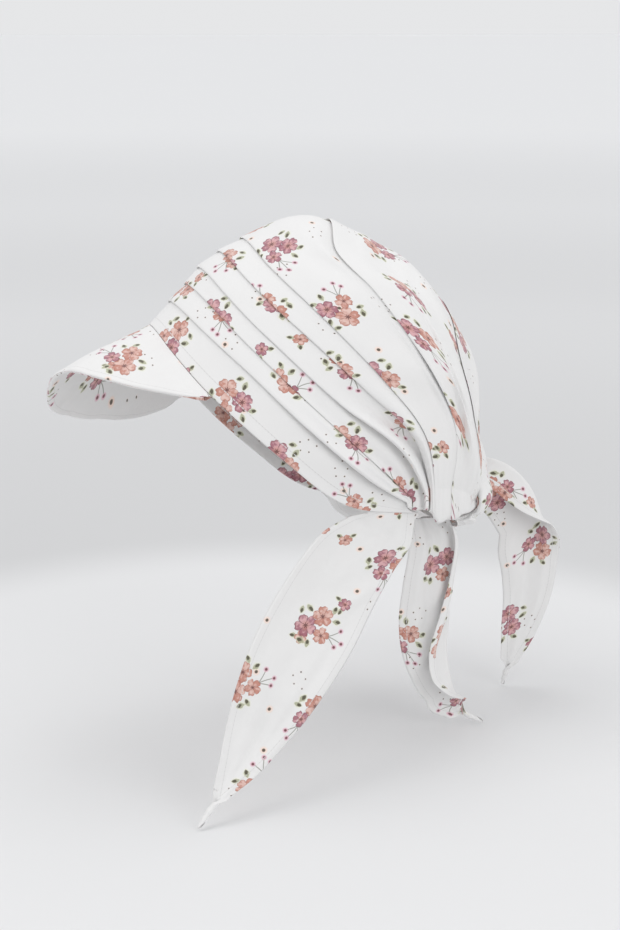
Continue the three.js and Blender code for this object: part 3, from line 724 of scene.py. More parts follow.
def tie_wave(place, along, width, creases, seed):
    """Soft folds and creases of a tie."""
    envelope = np.sin(math.pi * np.clip(place, 0, 1)) ** 0.5
    gathered = smooth(along, 0.0, 0.25)
    pleats = 0.0011 * np.sin(2 * math.pi * (2.6 * place + 0.3 * seed)) * (1 - 0.75 * gathered)
    long = 0.0012 * ripple(place * 3.2, along * 5, seed)
    fine = 0.00035 * ripple(place * 11, along * 26, seed + 4)
    end = 0.0014 * np.sin(2 * math.pi * 1.6 * place + seed) * smooth(along, 0.75, 1.0)
    sharp = MM * crease_rise(along, place, creases, 3.2)
    return ((pleats + long + fine + end) * envelope + sharp) * min(1, width / 0.03)


def lead_in(grid, root, steps=14):
    """Rows that lead from the sewn root to the tie's first row."""
    first = grid[0]
    spread = np.linspace(0, 1, first.shape[0])[:, None]
    start = root[0] * (1 - spread) + root[1] * spread
    rows = []
    for step in range(steps):
        t = step / steps
        ease = t * t * (3 - 2 * t)
        pull = (grid[0] - grid[3]) * (1 - t) * t * 1.2
        rows.append(start * (1 - ease) + first * ease + pull)
    return np.concatenate([np.array(rows), grid])


def add_twist(grid, tip, steps=34):
    """Draws the end of a tie together and twists it into a thin cord that reaches the tip."""
    last = grid[-1]
    middle = last.mean(axis=0)
    way = tip - middle
    length = np.linalg.norm(way)
    way = way / length
    across = last[-1] - last[0]
    across -= across.dot(way) * way
    across /= np.linalg.norm(across)
    face = np.cross(way, across)
    flat = last - middle
    flat_a = flat @ across
    flat_f = flat @ face
    share = np.linspace(0, 1, len(last))
    rows = []
    for step in range(1, steps + 1):
        t = step / steps
        radius = TWIST_RADIUS * (1 - 0.35 * smooth(t, 0.6, 1.0)) * (1 + 0.12 * math.sin(26 * t))
        if step == steps:
            radius *= 0.45
        spiral = 2 * math.pi * TWIST_WINDS * share
        grow = radius * (0.45 + 0.55 * share)
        rolled_a = grow * np.cos(spiral)
        rolled_f = grow * np.sin(spiral)
        close = smooth(t, 0.0, 0.45)
        a = flat_a * (1 - close) + rolled_a * close
        f = flat_f * (1 - close) + rolled_f * close
        turn = TWIST_TURN * t * t
        c = math.cos(turn)
        s = math.sin(turn)
        centre = middle + way * length * t
        rows.append(centre + np.outer(a * c - f * s, across) + np.outer(a * s + f * c, face))
    return np.concatenate([grid, np.array(rows)])


def cloth_places(points, breaks, shift):
    """Where each point lies on the flat cloth, in metres. It is measured along the rows from their middle and
    down the columns from the middle row of each strip between the breaks. The print keeps its shape there."""
    along = np.linalg.norm(np.diff(points, axis=1), axis=2)
    across = np.linalg.norm(np.diff(points, axis=0), axis=2)
    u = np.concatenate([np.zeros((len(points), 1)), np.cumsum(along, axis=1)], axis=1)
    v = np.concatenate([np.zeros((1, points.shape[1])), np.cumsum(across, axis=0)], axis=0)
    middle = points.shape[1] // 2
    u -= u[:, middle:middle + 1]
    plain = v[:, middle].copy()
    edges = [0, *breaks, len(points)]
    for first, end in zip(edges, edges[1:]):
        row = (first + end - 1) // 2
        v[first:end] += plain[row] - v[row]
    return np.stack([u + shift[0], v + shift[1], np.zeros_like(u)], axis=2)


def tie_places(points, shift):
    """Where each point of a tie lies on the flat cloth: along its middle, and across it."""
    places = cloth_places(points, [], shift)
    middle = points.shape[1] // 2
    own = places[:, :, 1]
    places[:, :, 1] = 0.35 * own + 0.65 * own[:, middle:middle + 1]
    return places


def sewn_edges(points, fold_row):
    """How far each point is from the edge folded at a row, and how far along that edge, in metres."""
    steps = np.linalg.norm(np.diff(points, axis=0), axis=2)
    away = np.concatenate([np.zeros((1, points.shape[1])), np.cumsum(steps, axis=0)])
    edge = np.concatenate([[0], np.cumsum(np.linalg.norm(np.diff(points[fold_row], axis=0), axis=1))])
    away = np.abs(away - away[fold_row])
    return np.stack([away, np.broadcast_to(edge, away.shape), np.zeros_like(away)], axis=2)


def tie_edges(points, fold_column=5):
    """The same for a tie, whose two edges are folded at a column and at its twin on the other side."""
    near = sewn_edges(points.transpose(1, 0, 2), fold_column).transpose(1, 0, 2)
    far = sewn_edges(points.transpose(1, 0, 2), points.shape[1] - 1 - fold_column).transpose(1, 0, 2)
    return np.where(near[..., :1] < far[..., :1], near, far)


def sheet_object(name, points, places, edges, material):
    """A mesh of a grid of points, with each point's place on the flat cloth and its distance from the hem in
    attributes."""
    rows, columns = points.shape[:2]
    index = np.arange(rows * columns).reshape(rows, columns)
    quads = np.stack([index[:-1, :-1], index[:-1, 1:], index[1:, 1:], index[1:, :-1]], axis=-1).reshape(-1, 4)
    mesh = bpy.data.meshes.new(name)
    mesh.vertices.add(rows * columns)
    mesh.vertices.foreach_set("co", points.reshape(-1).astype(np.float32))
    mesh.loops.add(len(quads) * 4)
    mesh.loops.foreach_set("vertex_index", quads.reshape(-1).astype(np.int32))
    mesh.polygons.add(len(quads))
    mesh.polygons.foreach_set("loop_start", np.arange(0, len(quads) * 4, 4, dtype=np.int32))
    mesh.polygons.foreach_set("use_smooth", np.ones(len(quads), bool))
    mesh.update(calc_edges=True)
    mesh.validate()
    for label, values in (("cloth", places), ("hem", edges)):
        attribute = mesh.attributes.new(label, "FLOAT_VECTOR", "POINT")
        attribute.data.foreach_set("vector", values.reshape(-1).astype(np.float32))
    mesh.materials.append(material)
    piece = bpy.data.objects.new(name, mesh)
    bpy.context.scene.collection.objects.link(piece)
    return piece


def settle(piece, node):
    """Makes a piece stand for a node of the frame."""
    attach(piece, "root")
    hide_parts(node)
    return piece


class Shader:
    """A short way to write the nodes of a material or of a group of nodes."""

    def __init__(self, tree):
        self.tree = tree

    def node(self, kind, **settings):
        made = self.tree.nodes.new(kind)
        for name, value in settings.items():
            setattr(made, name, value)
        return made

    def feed(self, socket, value):
        if isinstance(value, bpy.types.NodeSocket):
            self.tree.links.new(value, socket)
        elif value is not None:
            socket.default_value = value

    def maths(self, operation, a, b=None, c=None, clamp=False):
        made = self.node("ShaderNodeMath", operation=operation, use_clamp=clamp)
        for socket, value in zip(made.inputs, (a, b, c)):
            self.feed(socket, value)
        return made.outputs[0]

    def vector(self, operation, a, b=None, scale=None):
        made = self.node("ShaderNodeVectorMath", operation=operation)
        self.feed(made.inputs[0], a)
        if b is not None:
            self.feed(made.inputs[1], b)
        if scale is not None:
            self.feed(made.inputs["Scale"], scale)
        single = operation in ("LENGTH", "DOT_PRODUCT", "DISTANCE")
        return made.outputs["Value"] if single else made.outputs["Vector"]

    def ramp(self, value, low, high, start=0.0, end=1.0):
        made = self.node("ShaderNodeMapRange", interpolation_type="SMOOTHSTEP")
        self.feed(made.inputs["Value"], value)
        self.feed(made.inputs["From Min"], low)
        self.feed(made.inputs["From Max"], high)
        self.feed(made.inputs["To Min"], start)
        self.feed(made.inputs["To Max"], end)
        return made.outputs[0]

    def mix(self, share, a, b, blend="MIX"):
        made = self.node("ShaderNodeMix", data_type="RGBA", blend_type=blend)
        self.feed(made.inputs[0], share)
        self.feed(made.inputs[6], a)
        self.feed(made.inputs[7], b)
        return made.outputs[2]

    def noise(self, place, scale, detail=2.0, dimensions="3D"):
        made = self.node("ShaderNodeTexNoise", noise_dimensions=dimensions)
        self.feed(made.inputs["Vector"], place)
        self.feed(made.inputs["Scale"], scale)
        self.feed(made.inputs["Detail"], detail)
        return made.outputs[0]

    def turn(self, place, angle):
        made = self.node("ShaderNodeVectorRotate", rotation_type="Z_AXIS")
        self.feed(made.inputs["Vector"], place)
        self.feed(made.inputs["Angle"], angle)
        return made.outputs[0]

    def split(self, value):
        made = self.node("ShaderNodeSeparateXYZ")
        self.feed(made.inputs[0], value)
        return made.outputs

    def join(self, x, y, z=0.0):
        made = self.node("ShaderNodeCombineXYZ")
        for socket, value in zip(made.inputs, (x, y, z)):
            self.feed(socket, value)
        return made.outputs[0]

    def print_on(self, under, motif, **values):
        """The colour under a motif of the print, with the motif on it."""
        made = self.node("ShaderNodeGroup", node_tree=motif)
        for name, value in {**values, "Under": under}.items():
            self.feed(made.inputs[name], value)
        return made.outputs["Colour"]


def new_group(name, inputs, outputs):
    """An empty group of nodes with named sockets: (name, socket type) pairs."""
    tree = bpy.data.node_groups.new(name, "ShaderNodeTree")
    for label, kind in inputs:
        tree.interface.new_socket(label, in_out="INPUT", socket_type=kind)
    for label, kind in outputs:
        tree.interface.new_socket(label, in_out="OUTPUT", socket_type=kind)
    shader = Shader(tree)
    start = shader.node("NodeGroupInput").outputs
    end = shader.node("NodeGroupOutput").inputs
    return shader, start, end


FLOAT = "NodeSocketFloat"
VECTOR = "NodeSocketVector"
COLOUR = "NodeSocketColor"


def rgba(colour, share=1.0):
    """A colour mixed towards white by 1 - share, with full alpha."""
    return tuple(1 - share * (1 - c) for c in colour) + (1.0,)


def blossom_group(colours):
    """A five-petalled blossom round the origin, in watercolour: notched petals, pale within and strong at
    their rims, over a dark starry heart."""
    shader, start, end = new_group(
        "Blossom",
        [("Place", VECTOR), ("Radius", FLOAT), ("Turn", FLOAT), ("Kind", FLOAT), ("Under", COLOUR)],
        [("Colour", COLOUR)],
    )
    m = shader.maths
    uneven = m("SUBTRACT", shader.noise(start["Place"], 330.0, dimensions="2D"), 0.5)
    parts = shader.split(start["Place"])
    reach = m("DIVIDE", shader.vector("LENGTH", start["Place"]), start["Radius"])
    angle = m("ADD", m("ARCTAN2", parts[1], parts[0]), start["Turn"])
    angle = m("MULTIPLY_ADD", uneven, 0.35, angle)
    lobe = m("ABSOLUTE", m("COSINE", m("MULTIPLY", angle, 2.5)))
    notch = shader.ramp(lobe, 0.9, 1.0, 0.0, 0.085)
    edge = m("SUBTRACT", m("MULTIPLY_ADD", m("POWER", lobe, 0.5), 0.42, 0.58), notch)
    depth = m("DIVIDE", m("MULTIPLY_ADD", uneven, 0.16, reach), edge)
    mask = shader.ramp(depth, 1.0, 0.94)
    strong = shader.mix(start["Kind"], rgba(colours.salmon), rgba(colours.mauve))
    dark = shader.mix(start["Kind"], rgba(colours.salmon_rim), rgba(colours.mauve_rim))
    throat = shader.mix(start["Kind"], rgba(colours.salmon_throat), rgba(colours.mauve_throat))
    petal_number = m("FLOOR", m("MULTIPLY_ADD", angle, 5 / (2 * math.pi), 0.5))
    tone = shader.node("ShaderNodeTexWhiteNoise", noise_dimensions="1D")
    shader.feed(tone.inputs["W"], petal_number)
    soak = m("MULTIPLY_ADD", uneven, 1.8, m("MULTIPLY_ADD", tone.outputs["Value"], 0.6, depth))
    petal = shader.mix(shader.ramp(soak, 0.55, 1.2), throat, strong)
    petal = shader.mix(shader.ramp(reach, 0.55, 0.2, 0.0, 0.55), petal, rgba(colours.salmon))
    rim = shader.ramp(m("MULTIPLY_ADD", uneven, 0.25, depth), 0.84, 0.97, 0.0, 0.75)
    petal = shader.mix(rim, petal, dark)
    between = m("MULTIPLY", shader.ramp(lobe, 0.34, 0.08), shader.ramp(depth, 0.2, 0.55, 0.0, 0.7))
    petal = shader.mix(between, petal, dark)
    ray = m("POWER", m("ABSOLUTE", m("COSINE", m("MULTIPLY", angle, 3.5))), 3.0)
    star = shader.ramp(m("SUBTRACT", reach, m("MULTIPLY_ADD", ray, 0.15, 0.1)), 0.05, -0.03, 0.0, 0.9)
    petal = shader.mix(star, petal, rgba(colours.heart))
    shader.feed(end["Colour"], shader.mix(m("MULTIPLY", mask, 0.95), start["Under"], petal))
    return shader.tree


def leaf_group(colours):
    """A small pointed leaf along X with a pale wash round it and a dark blot on it."""
    shader, start, end = new_group(
        "Leaf",
        [("Place", VECTOR), ("Length", FLOAT), ("Turn", FLOAT), ("Under", COLOUR)],
        [("Colour", COLOUR)],
    )
    m = shader.maths
    parts = shader.split(shader.turn(start["Place"], start["Turn"]))
    x = m("DIVIDE", parts[0], start["Length"])
    y = m("DIVIDE", parts[1], start["Length"])
    belly = m("SUBTRACT", 1.0, m("MULTIPLY", x, x))
    side = m("SUBTRACT", m("MULTIPLY", belly, 0.58), m("ABSOLUTE", y))
    uneven = m("SUBTRACT", shader.noise(start["Place"], 420.0, dimensions="2D"), 0.5)
    halo = shader.ramp(side, -0.5, 0.05, 0.0, 0.5)
    mask = shader.ramp(m("MULTIPLY_ADD", uneven, 0.5, side), -0.04, 0.16, 0.0, 0.8)
    pale = shader.mix(halo, start["Under"], rgba((0.78, 0.78, 0.62)))
    green = shader.mix(mask, pale, rgba(colours.leaf))
    blot_x = m("SUBTRACT", x, 0.26)
    blot = m("ADD", m("MULTIPLY", blot_x, blot_x), m("MULTIPLY", m("MULTIPLY", y, y), 2.4))
    dark = shader.ramp(m("MULTIPLY_ADD", uneven, 0.6, blot), 0.4, 0.16, 0.0, 0.85)
    shader.feed(end["Colour"], shader.mix(dark, green, rgba(colours.ink_and_hole_shade)))
    return shader.tree


def sprig_group(colours):
    """A thin curved twig along X that ends in a small pink berry with a dark centre."""
    shader, start, end = new_group(
        "Sprig",
        [("Place", VECTOR), ("Length", FLOAT), ("Turn", FLOAT), ("Bend", FLOAT), ("Under", COLOUR)],
        [("Colour", COLOUR)],
    )
    m = shader.maths
    parts = shader.split(shader.turn(start["Place"], start["Turn"]))
    x = m("DIVIDE", parts[0], start["Length"])
    curve = m("MULTIPLY", m("MULTIPLY", x, x), start["Bend"])
    off = m("ABSOLUTE", m("SUBTRACT", parts[1], curve))
    within = m("MULTIPLY", shader.ramp(x, 0.0, 0.04), shader.ramp(x, 1.0, 0.96))
    line = m("MULTIPLY", shader.ramp(off, 0.00042, 0.00016), within)
    twig = shader.mix(m("MULTIPLY", line, 0.75), start["Under"], rgba((0.2, 0.2, 0.16)))
    beyond = m("SUBTRACT", parts[0], start["Length"])
    beside = m("SUBTRACT", parts[1], start["Bend"])
    away = shader.vector("LENGTH", shader.join(beyond, beside))
    halo = shader.ramp(away, 0.0021, 0.0011, 0.0, 0.8)
    berry = shader.mix(halo, twig, rgba((0.74, 0.43, 0.52)))
    core = shader.ramp(away, 0.0011, 0.0006, 0.0, 0.9)
    shader.feed(end["Colour"], shader.mix(core, berry, rgba(colours.heart)))
    return shader.tree


def dot_group(colours):
    """A small dark dot with a pale peach wash round it."""
    shader, start, end = new_group(
        "Dot",
        [("Place", VECTOR), ("Radius", FLOAT), ("Wash", FLOAT), ("Under", COLOUR)],
        [("Colour", COLOUR)],
    )
    away = shader.maths("DIVIDE", shader.vector("LENGTH", start["Place"]), start["Radius"])
    wash = shader.maths("MULTIPLY", shader.ramp(away, 2.6, 1.0), start["Wash"])
    halo = shader.mix(wash, start["Under"], rgba((0.9, 0.7, 0.6)))
    shader.feed(end["Colour"], shader.mix(shader.ramp(away, 1.1, 0.75, 0.0, 0.9), halo, rgba(colours.ink_and_hole_shade)))
    return shader.tree


def scatter(shader, places, cell, stray, seed):
    """Lays a repeat of staggered cells over the cloth. Gives the place inside the turned cell, and three
    random numbers that stay the same over it."""
    m = shader.maths
    parts = shader.split(places)
    across = m("DIVIDE", parts[0], cell)
    row = m("FLOOR", m("DIVIDE", parts[1], cell))
    across = m("ADD", across, m("MULTIPLY", row, 0.37))
    column = m("FLOOR", across)
    noise = shader.node("ShaderNodeTexWhiteNoise", noise_dimensions="3D")
    shader.feed(noise.inputs["Vector"], shader.join(column, row, seed))
    chance = shader.node("ShaderNodeSeparateColor")
    shader.feed(chance.inputs[0], noise.outputs["Color"])
    x = m("MULTIPLY", m("SUBTRACT", m("SUBTRACT", across, column), 0.5), cell)
    y = m("MULTIPLY", m("SUBTRACT", m("SUBTRACT", m("DIVIDE", parts[1], cell), row), 0.5), cell)
    x = m("SUBTRACT", x, m("MULTIPLY", m("SUBTRACT", chance.outputs[0], 0.5), stray))
    y = m("SUBTRACT", y, m("MULTIPLY", m("SUBTRACT", chance.outputs[1], 0.5), stray))
    turned = shader.turn(shader.join(x, y), m("MULTIPLY", chance.outputs[2], 2 * math.pi))
    return turned, chance.outputs


# Motifs of the print, in millimetres from the middle of their cell.
POSY_BLOSSOMS = [
    # x, y, radius, turn, which random number picks its colour
    (1.8, 7.6, 5.6, 2.2, 2),
    (-5.6, -1.6, 7.7, 0.4, 0),
    (6.4, -3.6, 7.0, 1.3, 1),
]
POSY_LEAVES = [
    # x, y, length, turn
    (-11.0, 6.6, 3.1, 2.3),
    (-7.4, 9.6, 2.7, 1.1),
    (13.6, 2.6, 2.9, -0.5),
    (14.6, -4.8, 2.7, 0.9),
    (0.4, -11.4, 3.1, -1.2),
    (-5.0, -12.2, 2.7, -2.2),
]
POSY_SPRIGS = [
    # x, y, length, turn, bend
    (5.6, 9.2, 10.4, -0.6, 1.9),
    (5.6, 9.2, 8.4, -1.15, 0.8),
    (5.6, 9.2, 9.4, -0.15, -1.5),
]
BUD_RADIUS = 4.6
BUD_LEAVES = [(4.6, 2.4, 2.6, -0.4), (-3.4, 4.2, 2.4, -2.2)]
BUD_DOT = (-10, -6, 1.15)  # x, y, radius, as for the specks
SPECKS = [(-5.4, 1.2, 0.55), (0.4, 3.6, 0.5), (5.0, 1.0, 0.55), (-1.8, -3.6, 0.5), (3.4, -3.9, 0.5)]

# Sizes of the cells that the print repeats by, in metres.
POSY_CELL = 0.054
BUD_CELL = 0.037
SPECK_CELL = 0.029
STRAY = 0.012  # width of the square that a motif's middle may lie in


def moved(shader, place, x, y):
    """The place as seen from a motif that lies x, y millimetres from the middle of its cell."""
    return shader.vector("SUBTRACT", place, (x * MM, y * MM, 0.0))


def floral_print(shader, places, colours):
    """A ditsy print: posies of three blossoms with leaves and berried sprigs, single blossoms, and specks."""
    blossom = blossom_group(colours)
    leaf = leaf_group(colours)
    sprig = sprig_group(colours)
    dot = dot_group(colours)
    paler = tuple(0.965 * c for c in colours.cloth)
    colour = shader.mix(shader.noise(places, 35.0), rgba(colours.cloth), rgba(paler))

    place, chance = scatter(shader, places, SPECK_CELL, STRAY, 5.0)
    specks = colour
    for x, y, radius in SPECKS:
        specks = shader.print_on(specks, dot, Place=moved(shader, place, x, y), Radius=radius * MM, Wash=0.15)
    colour = shader.mix(shader.maths("GREATER_THAN", chance[0], 0.62), colour, specks)

    place, chance = scatter(shader, places, BUD_CELL, STRAY, 2.0)
    x, y, radius = BUD_DOT
    berry = shader.print_on(colour, dot, Place=moved(shader, place, x, y), Radius=radius * MM, Wash=0.85)
    colour = shader.mix(shader.maths("GREATER_THAN", chance[1], 0.45), colour, berry)
    bud = colour
    for x, y, length, turn in BUD_LEAVES:
        bud = shader.print_on(bud, leaf, Place=moved(shader, place, x, y), Length=length * MM, Turn=turn)
    kind = shader.maths("GREATER_THAN", chance[2], 0.7)
    bud = shader.print_on(bud, blossom, Place=place, Radius=BUD_RADIUS * MM, Turn=0.9, Kind=kind)
    colour = shader.mix(shader.maths("GREATER_THAN", chance[0], 0.62), colour, bud)

    place, chance = scatter(shader, places, POSY_CELL, STRAY, 1.0)
    for x, y, length, turn, bend in POSY_SPRIGS:
        spot = moved(shader, place, x, y)
        colour = shader.print_on(colour, sprig, Place=spot, Length=length * MM, Turn=turn, Bend=bend * MM)
    for x, y, length, turn in POSY_LEAVES:
        spot = moved(shader, place, x, y)
        colour = shader.print_on(colour, leaf, Place=spot, Length=length * MM, Turn=turn)
    for x, y, radius, turn, pick in POSY_BLOSSOMS:
        spot = moved(shader, place, x, y)
        kind = shader.maths("GREATER_THAN", chance[pick], 0.5)
        colour = shader.print_on(colour, blossom, Place=spot, Radius=radius * MM, Turn=turn, Kind=kind)
    return colour


STITCH_LINE = 0.0052  # distance of the stitches from the folded edge, in metres
STITCH = 0.0025  # length of a stitch, in metres
THREAD_PITCH = 0.00042  # of the weave, in metres


def cotton_material(colours):
    """Thin white cotton with a print, a plain weave, slubs, a soft crumple and a stitched hem."""
    material = bpy.data.materials.new("Printed cotton")
    material.use_nodes = True
    shader = Shader(material.node_tree)
    surface = material.node_tree.nodes["Principled BSDF"]
    places = shader.node("ShaderNodeAttribute", attribute_name="cloth").outputs["Vector"]
    hem = shader.split(shader.node("ShaderNodeAttribute", attribute_name="hem").outputs["Vector"])
    off = shader.maths("ABSOLUTE", shader.maths("SUBTRACT", hem[0], STITCH_LINE))
    line = shader.ramp(off, 0.0003, 0.00014)
    part = shader.maths("FRACT", shader.maths("DIVIDE", hem[1], STITCH))
    run = shader.maths("ABSOLUTE", shader.maths("SUBTRACT", part, 0.5))
    dash = shader.ramp(run, 0.42, 0.34)
    stitch = shader.maths("MULTIPLY", line, dash)
    # Painted shade in the needle holes: the gaps between the stitches along the stitch line.
    painted_hole_shade = shader.maths("MULTIPLY", line, shader.maths("SUBTRACT", 1.0, dash))
    groove = shader.ramp(off, 0.0009, 0.0001)
    colour = floral_print(shader, places, colours)
    # The stitches take the thread's grey, which is painted shade on white thread.
    colour = shader.mix(shader.maths("MULTIPLY", stitch, 0.8), colour, rgba(colours.thread))
    # A little ink darkens the needle holes, as painted shade.
    colour = shader.mix(shader.maths("MULTIPLY", painted_hole_shade, 0.2), colour, rgba(colours.ink_and_hole_shade))
    shader.feed(surface.inputs["Base Color"], colour)
    parts = shader.split(places)
    thread = 2 * math.pi / THREAD_PITCH
    warp = shader.maths("SINE", shader.maths("MULTIPLY", parts[0], thread))
    weft = shader.maths("SINE", shader.maths("MULTIPLY", parts[1], thread))
    weave = shader.maths("MULTIPLY", warp, weft)
    slub = shader.noise(shader.vector("MULTIPLY", places, (60.0, 900.0, 1.0)), 1.0)
    crumple = shader.noise(places, 140.0, detail=4.0)
    relief = shader.maths("MULTIPLY_ADD", weave, 0.25, shader.maths("MULTIPLY", slub, 0.6))
    relief = shader.maths("MULTIPLY_ADD", crumple, 2.2, relief)
    relief = shader.maths("MULTIPLY_ADD", groove, -0.8, relief)
    relief = shader.maths("MULTIPLY_ADD", stitch, 1.2, relief)
    bump = shader.node("ShaderNodeBump")
    bump.inputs["Strength"].default_value = 0.35
    bump.inputs["Distance"].default_value = 0.0002
    shader.feed(bump.inputs["Height"], relief)
    shader.feed(surface.inputs["Normal"], bump.outputs[0])
    surface.inputs["Roughness"].default_value = 0.88
    surface.inputs["Specular IOR Level"].default_value = 0.25
    surface.inputs["Sheen Weight"].default_value = 0.25
    surface.inputs["Sheen Roughness"].default_value = 0.6
    return material


def cotton():
    """The hat's one cloth, made the first time that it is asked for."""
    found = bpy.data.materials.get("Printed cotton")
    return found or cotton_material(bpy.context.scene.hat_colours)


def crown_columns():
    """Places across the crown, evenly spaced from -1 at the left gathered end to 1 at the right one."""
    half = np.linspace(0, 1, 126)
    return np.concatenate([-half[:0:-1], half])


class HAT_OT_front_panel(bpy.types.Operator):
    """Makes the tucked front panel of the crown"""

    bl_idname = "hat.front_panel"
    bl_label = "Front panel"

    def execute(self, context):
        sizes = context.scene.hat_sizes
        across = crown_columns()
        rows = tuck_rows()
        points = front_grid(sizes, across)
        places = cloth_places(points, strip_breaks(rows), CUT_PLACES["front_panel"])
        hem_row = next(i for i, row in enumerate(rows) if row[3] == 0.5)
        edges = sewn_edges(points, hem_row)
        # The stitches follow the sections, so their distance from the rim is counted in stations.
        crest = len(across) // 2
        before_tucks = [i for i, row in enumerate(rows) if row[1] == 0 and row[3] == 0]
        one_station = np.linalg.norm(points[before_tucks[-1], crest] - points[before_tucks[0], crest])
        edges[..., 0] = np.abs(np.array([row[0] for row in rows]))[:, None] * one_station
        piece = sheet_object("front_panel_cloth", points, places, edges, cotton())
        settle(piece, "front_panel")
        return {"FINISHED"}


class HAT_OT_back_panel(bpy.types.Operator):
    """Makes the slouching back panel of the crown"""

    bl_idname = "hat.back_panel"
    bl_label = "Back panel"

    def execute(self, context):
        sizes = context.scene.hat_sizes
        across = crown_columns()
        rows = back_rows()
        points = back_grid(sizes, across)
        breaks = strip_breaks(rows)
        waist = next(i for i, row in enumerate(rows) if row[0] > WAIST)
        places = cloth_places(points, [*breaks, waist], CUT_PLACES["back_panel"])
        hem_row = next(i for i, row in enumerate(rows) if row[2] == 0.5)
        edges = sewn_edges(points, hem_row)
        piece = sheet_object("back_panel_cloth", points, places, edges, cotton())
        settle(piece, "back_panel")
        return {"FINISHED"}


class HAT_OT_peak(bpy.types.Operator):
    """Makes the covered peak"""

    bl_idname = "hat.peak"
    bl_label = "Peak"

    def execute(self, context):
        sizes = context.scene.hat_sizes
        points = peak_grid(sizes, 121, 44)
        edge = len(points) // 2
        places = points * (1, 1, 0)
        places[:edge, :, :2] += CUT_PLACES["peak_top"]
        places[edge:, :, :2] += CUT_PLACES["peak_under"]
        piece = sheet_object("peak_cover", points, places, sewn_edges(points, edge), cotton())
        settle(piece, "peak")
        return {"FINISHED"}


class HAT_OT_ties(bpy.types.Operator):
    """Makes the three ties"""

    bl_idname = "hat.ties"
    bl_label = "Ties"

    def execute(self, context):
        sizes = context.scene.hat_sizes
        below = np.array([0, 0, -SEWN_BELOW])
        for name, table, tip, (station, near, far), creases, turned, seed in TIES:
            root = crown_points(sizes, np.array([station]), np.array([near, far]), 0.0)[0] + below
            points = tie_grid(sizes, table, *getattr(sizes, name), tip, root, creases, turned, seed)
            places = tie_places(points, CUT_PLACES[name])
            piece = sheet_object(name + "_cloth", points, places, tie_edges(points), cotton())
            settle(piece, name)
        return {"FINISHED"}


class HAT_OT_stage(bpy.types.Operator):
    """Makes the floor, the lights and the camera"""

    bl_idname = "hat.stage"
    bl_label = "Floor, lights and camera"

    def execute(self, context):
        context.scene.view_settings.view_transform = "Standard"
        make_floor(context.scene)
        make_lights(context.scene)
        make_camera(context.scene)
        return {"FINISHED"}


# Painted light and shade on the floor: darker in a ring from 0.34 m to about 0.46 m from the hat, then
# lighter again further off, standing in for the backdrop's shading and the lamps' falloff.
FLOOR_PAINTED_LIGHT = [
    # distance from the hat in metres, painted light and shade as a share of the floor's colour
    (0.0, 1.0),
    (0.34, 1.0),
    (0.46, 0.83),
    (1.9, 1.01),
    (3.6, 1.14),
    (7.0, 1.27),
]


def make_floor(scene):
    """A plain pale floor with painted light and shade, whose tone changes with the distance from the hat."""
    reach = 60.0
    mesh = bpy.data.meshes.new("floor")
    height = scene.hat_sizes.floor_height
    corners = [(x * reach, y * reach, height) for x, y in ((-1, -1), (1, -1), (1, 1), (-1, 1))]
    mesh.from_pydata(corners, [], [(0, 1, 2, 3)])
    material = bpy.data.materials.new("Floor")
    material.use_nodes = True
    shader = Shader(material.node_tree)
    surface = material.node_tree.nodes["Principled BSDF"]
    place = shader.node("ShaderNodeTexCoord").outputs["Object"]
    away = shader.vector("LENGTH", shader.vector("MULTIPLY", place, (1.0, 1.0, 0.0)))
    colour = rgba(scene.hat_colours.floor)
    # Paints the floor's light and shade step by step with the distance from the hat.
    for (near, before), (far, after) in zip(FLOOR_PAINTED_LIGHT, FLOOR_PAINTED_LIGHT[1:]):
        if after != before:
            tone = rgba(tuple(after * c for c in scene.hat_colours.floor))
            colour = shader.mix(shader.ramp(away, near, far), colour, tone)
    shader.feed(surface.inputs["Base Color"], colour)
    surface.inputs["Roughness"].default_value = 0.75
    surface.inputs["Specular IOR Level"].default_value = 0.2
    mesh.materials.append(material)
    floor = bpy.data.objects.new("floor", mesh)
    scene.collection.objects.link(floor)


VIEW_AZIMUTH = math.radians(80)
VIEW_ELEVATION = math.radians(14)
VIEW_DISTANCE = 1.15
VIEW_TARGET = Vector((0.01029, 0.01522, -0.03005))
LENS = 69.0  # millimetres, for a picture whose long side is 36 mm on the sensor


def view_back():
    """The way from the hat to the camera."""
    return Vector((
        math.sin(VIEW_AZIMUTH) * math.cos(VIEW_ELEVATION),
        -math.cos(VIEW_AZIMUTH) * math.cos(VIEW_ELEVATION),
        math.sin(VIEW_ELEVATION),
    ))


def make_camera(scene):
    """The camera, where the photograph was taken from."""
    data = bpy.data.cameras.new("camera")
    data.lens = LENS
    data.sensor_width = 36.0
    camera = bpy.data.objects.new("camera", data)
    scene.collection.objects.link(camera)
    camera.location = VIEW_TARGET + VIEW_DISTANCE * view_back()
    camera.rotation_euler = view_back().to_track_quat("Z", "Y").to_euler()
    scene.camera = camera


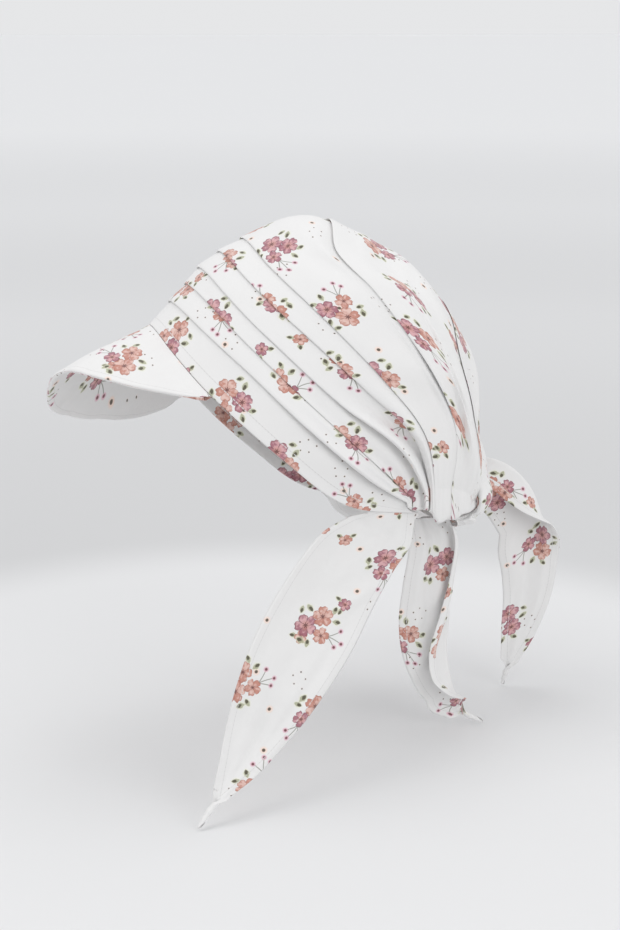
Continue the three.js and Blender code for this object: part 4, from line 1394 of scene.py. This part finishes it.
LIGHTS = [
    # name, place, size, power, tint
    ("key", (0.3, -1.3, 1.9), 1.5, 11.0, (1.0, 0.99, 0.98)),
    ("fill", (2.0, 1.2, 0.8), 1.6, 11.5, (1.0, 0.995, 0.985)),
    ("top", (-0.5, 0.2, 2.0), 1.0, 3.5, (1.0, 1.0, 1.0)),
]


def make_lights(scene):
    """Three large soft lamps and a pale surround."""
    for name, place, size, power, tint in LIGHTS:
        data = bpy.data.lights.new(name, "AREA")
        data.shape = "DISK"
        data.size = size
        data.energy = power
        data.color = tint
        light = bpy.data.objects.new(name, data)
        scene.collection.objects.link(light)
        light.visible_camera = False
        light.location = place
        light.rotation_euler = (Vector(place) - VIEW_TARGET).to_track_quat("Z", "Y").to_euler()
    world = bpy.data.worlds.new("Studio")
    world.use_nodes = True
    background = world.node_tree.nodes["Background"]
    background.inputs["Color"].default_value = (0.775, 0.78, 0.79, 1.0)
    background.inputs["Strength"].default_value = 1.02
    scene.world = world


class HAT_PT_panel(bpy.types.Panel):
    """Lists the hat's pieces, sizes and colours"""

    bl_idname = "HAT_PT_panel"
    bl_label = "Beach hat"
    bl_space_type = "VIEW_3D"
    bl_region_type = "UI"
    bl_category = "Beach hat"

    def draw(self, context):
        column = self.layout.column()
        for operator in OPERATORS:
            column.operator(operator.bl_idname)
        for group in (context.scene.hat_sizes, context.scene.hat_colours):
            for name in group.__annotations__:
                column.prop(group, name)


OPERATORS = (HAT_OT_front_panel, HAT_OT_back_panel, HAT_OT_peak, HAT_OT_ties, HAT_OT_stage)
CLASSES = (HatSizes, HatColours, *OPERATORS, HAT_PT_panel)


def register():
    for cls in CLASSES:
        bpy.utils.register_class(cls)
    bpy.types.Scene.hat_sizes = bpy.props.PointerProperty(type=HatSizes)
    bpy.types.Scene.hat_colours = bpy.props.PointerProperty(type=HatColours)


def unregister():
    del bpy.types.Scene.hat_colours
    del bpy.types.Scene.hat_sizes
    for cls in reversed(CLASSES):
        bpy.utils.unregister_class(cls)


def main():
    register()
    bpy.ops.hat.stage()
    bpy.ops.hat.front_panel()
    bpy.ops.hat.back_panel()
    bpy.ops.hat.peak()
    bpy.ops.hat.ties()
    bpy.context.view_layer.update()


if __name__ == "__main__":
    main()
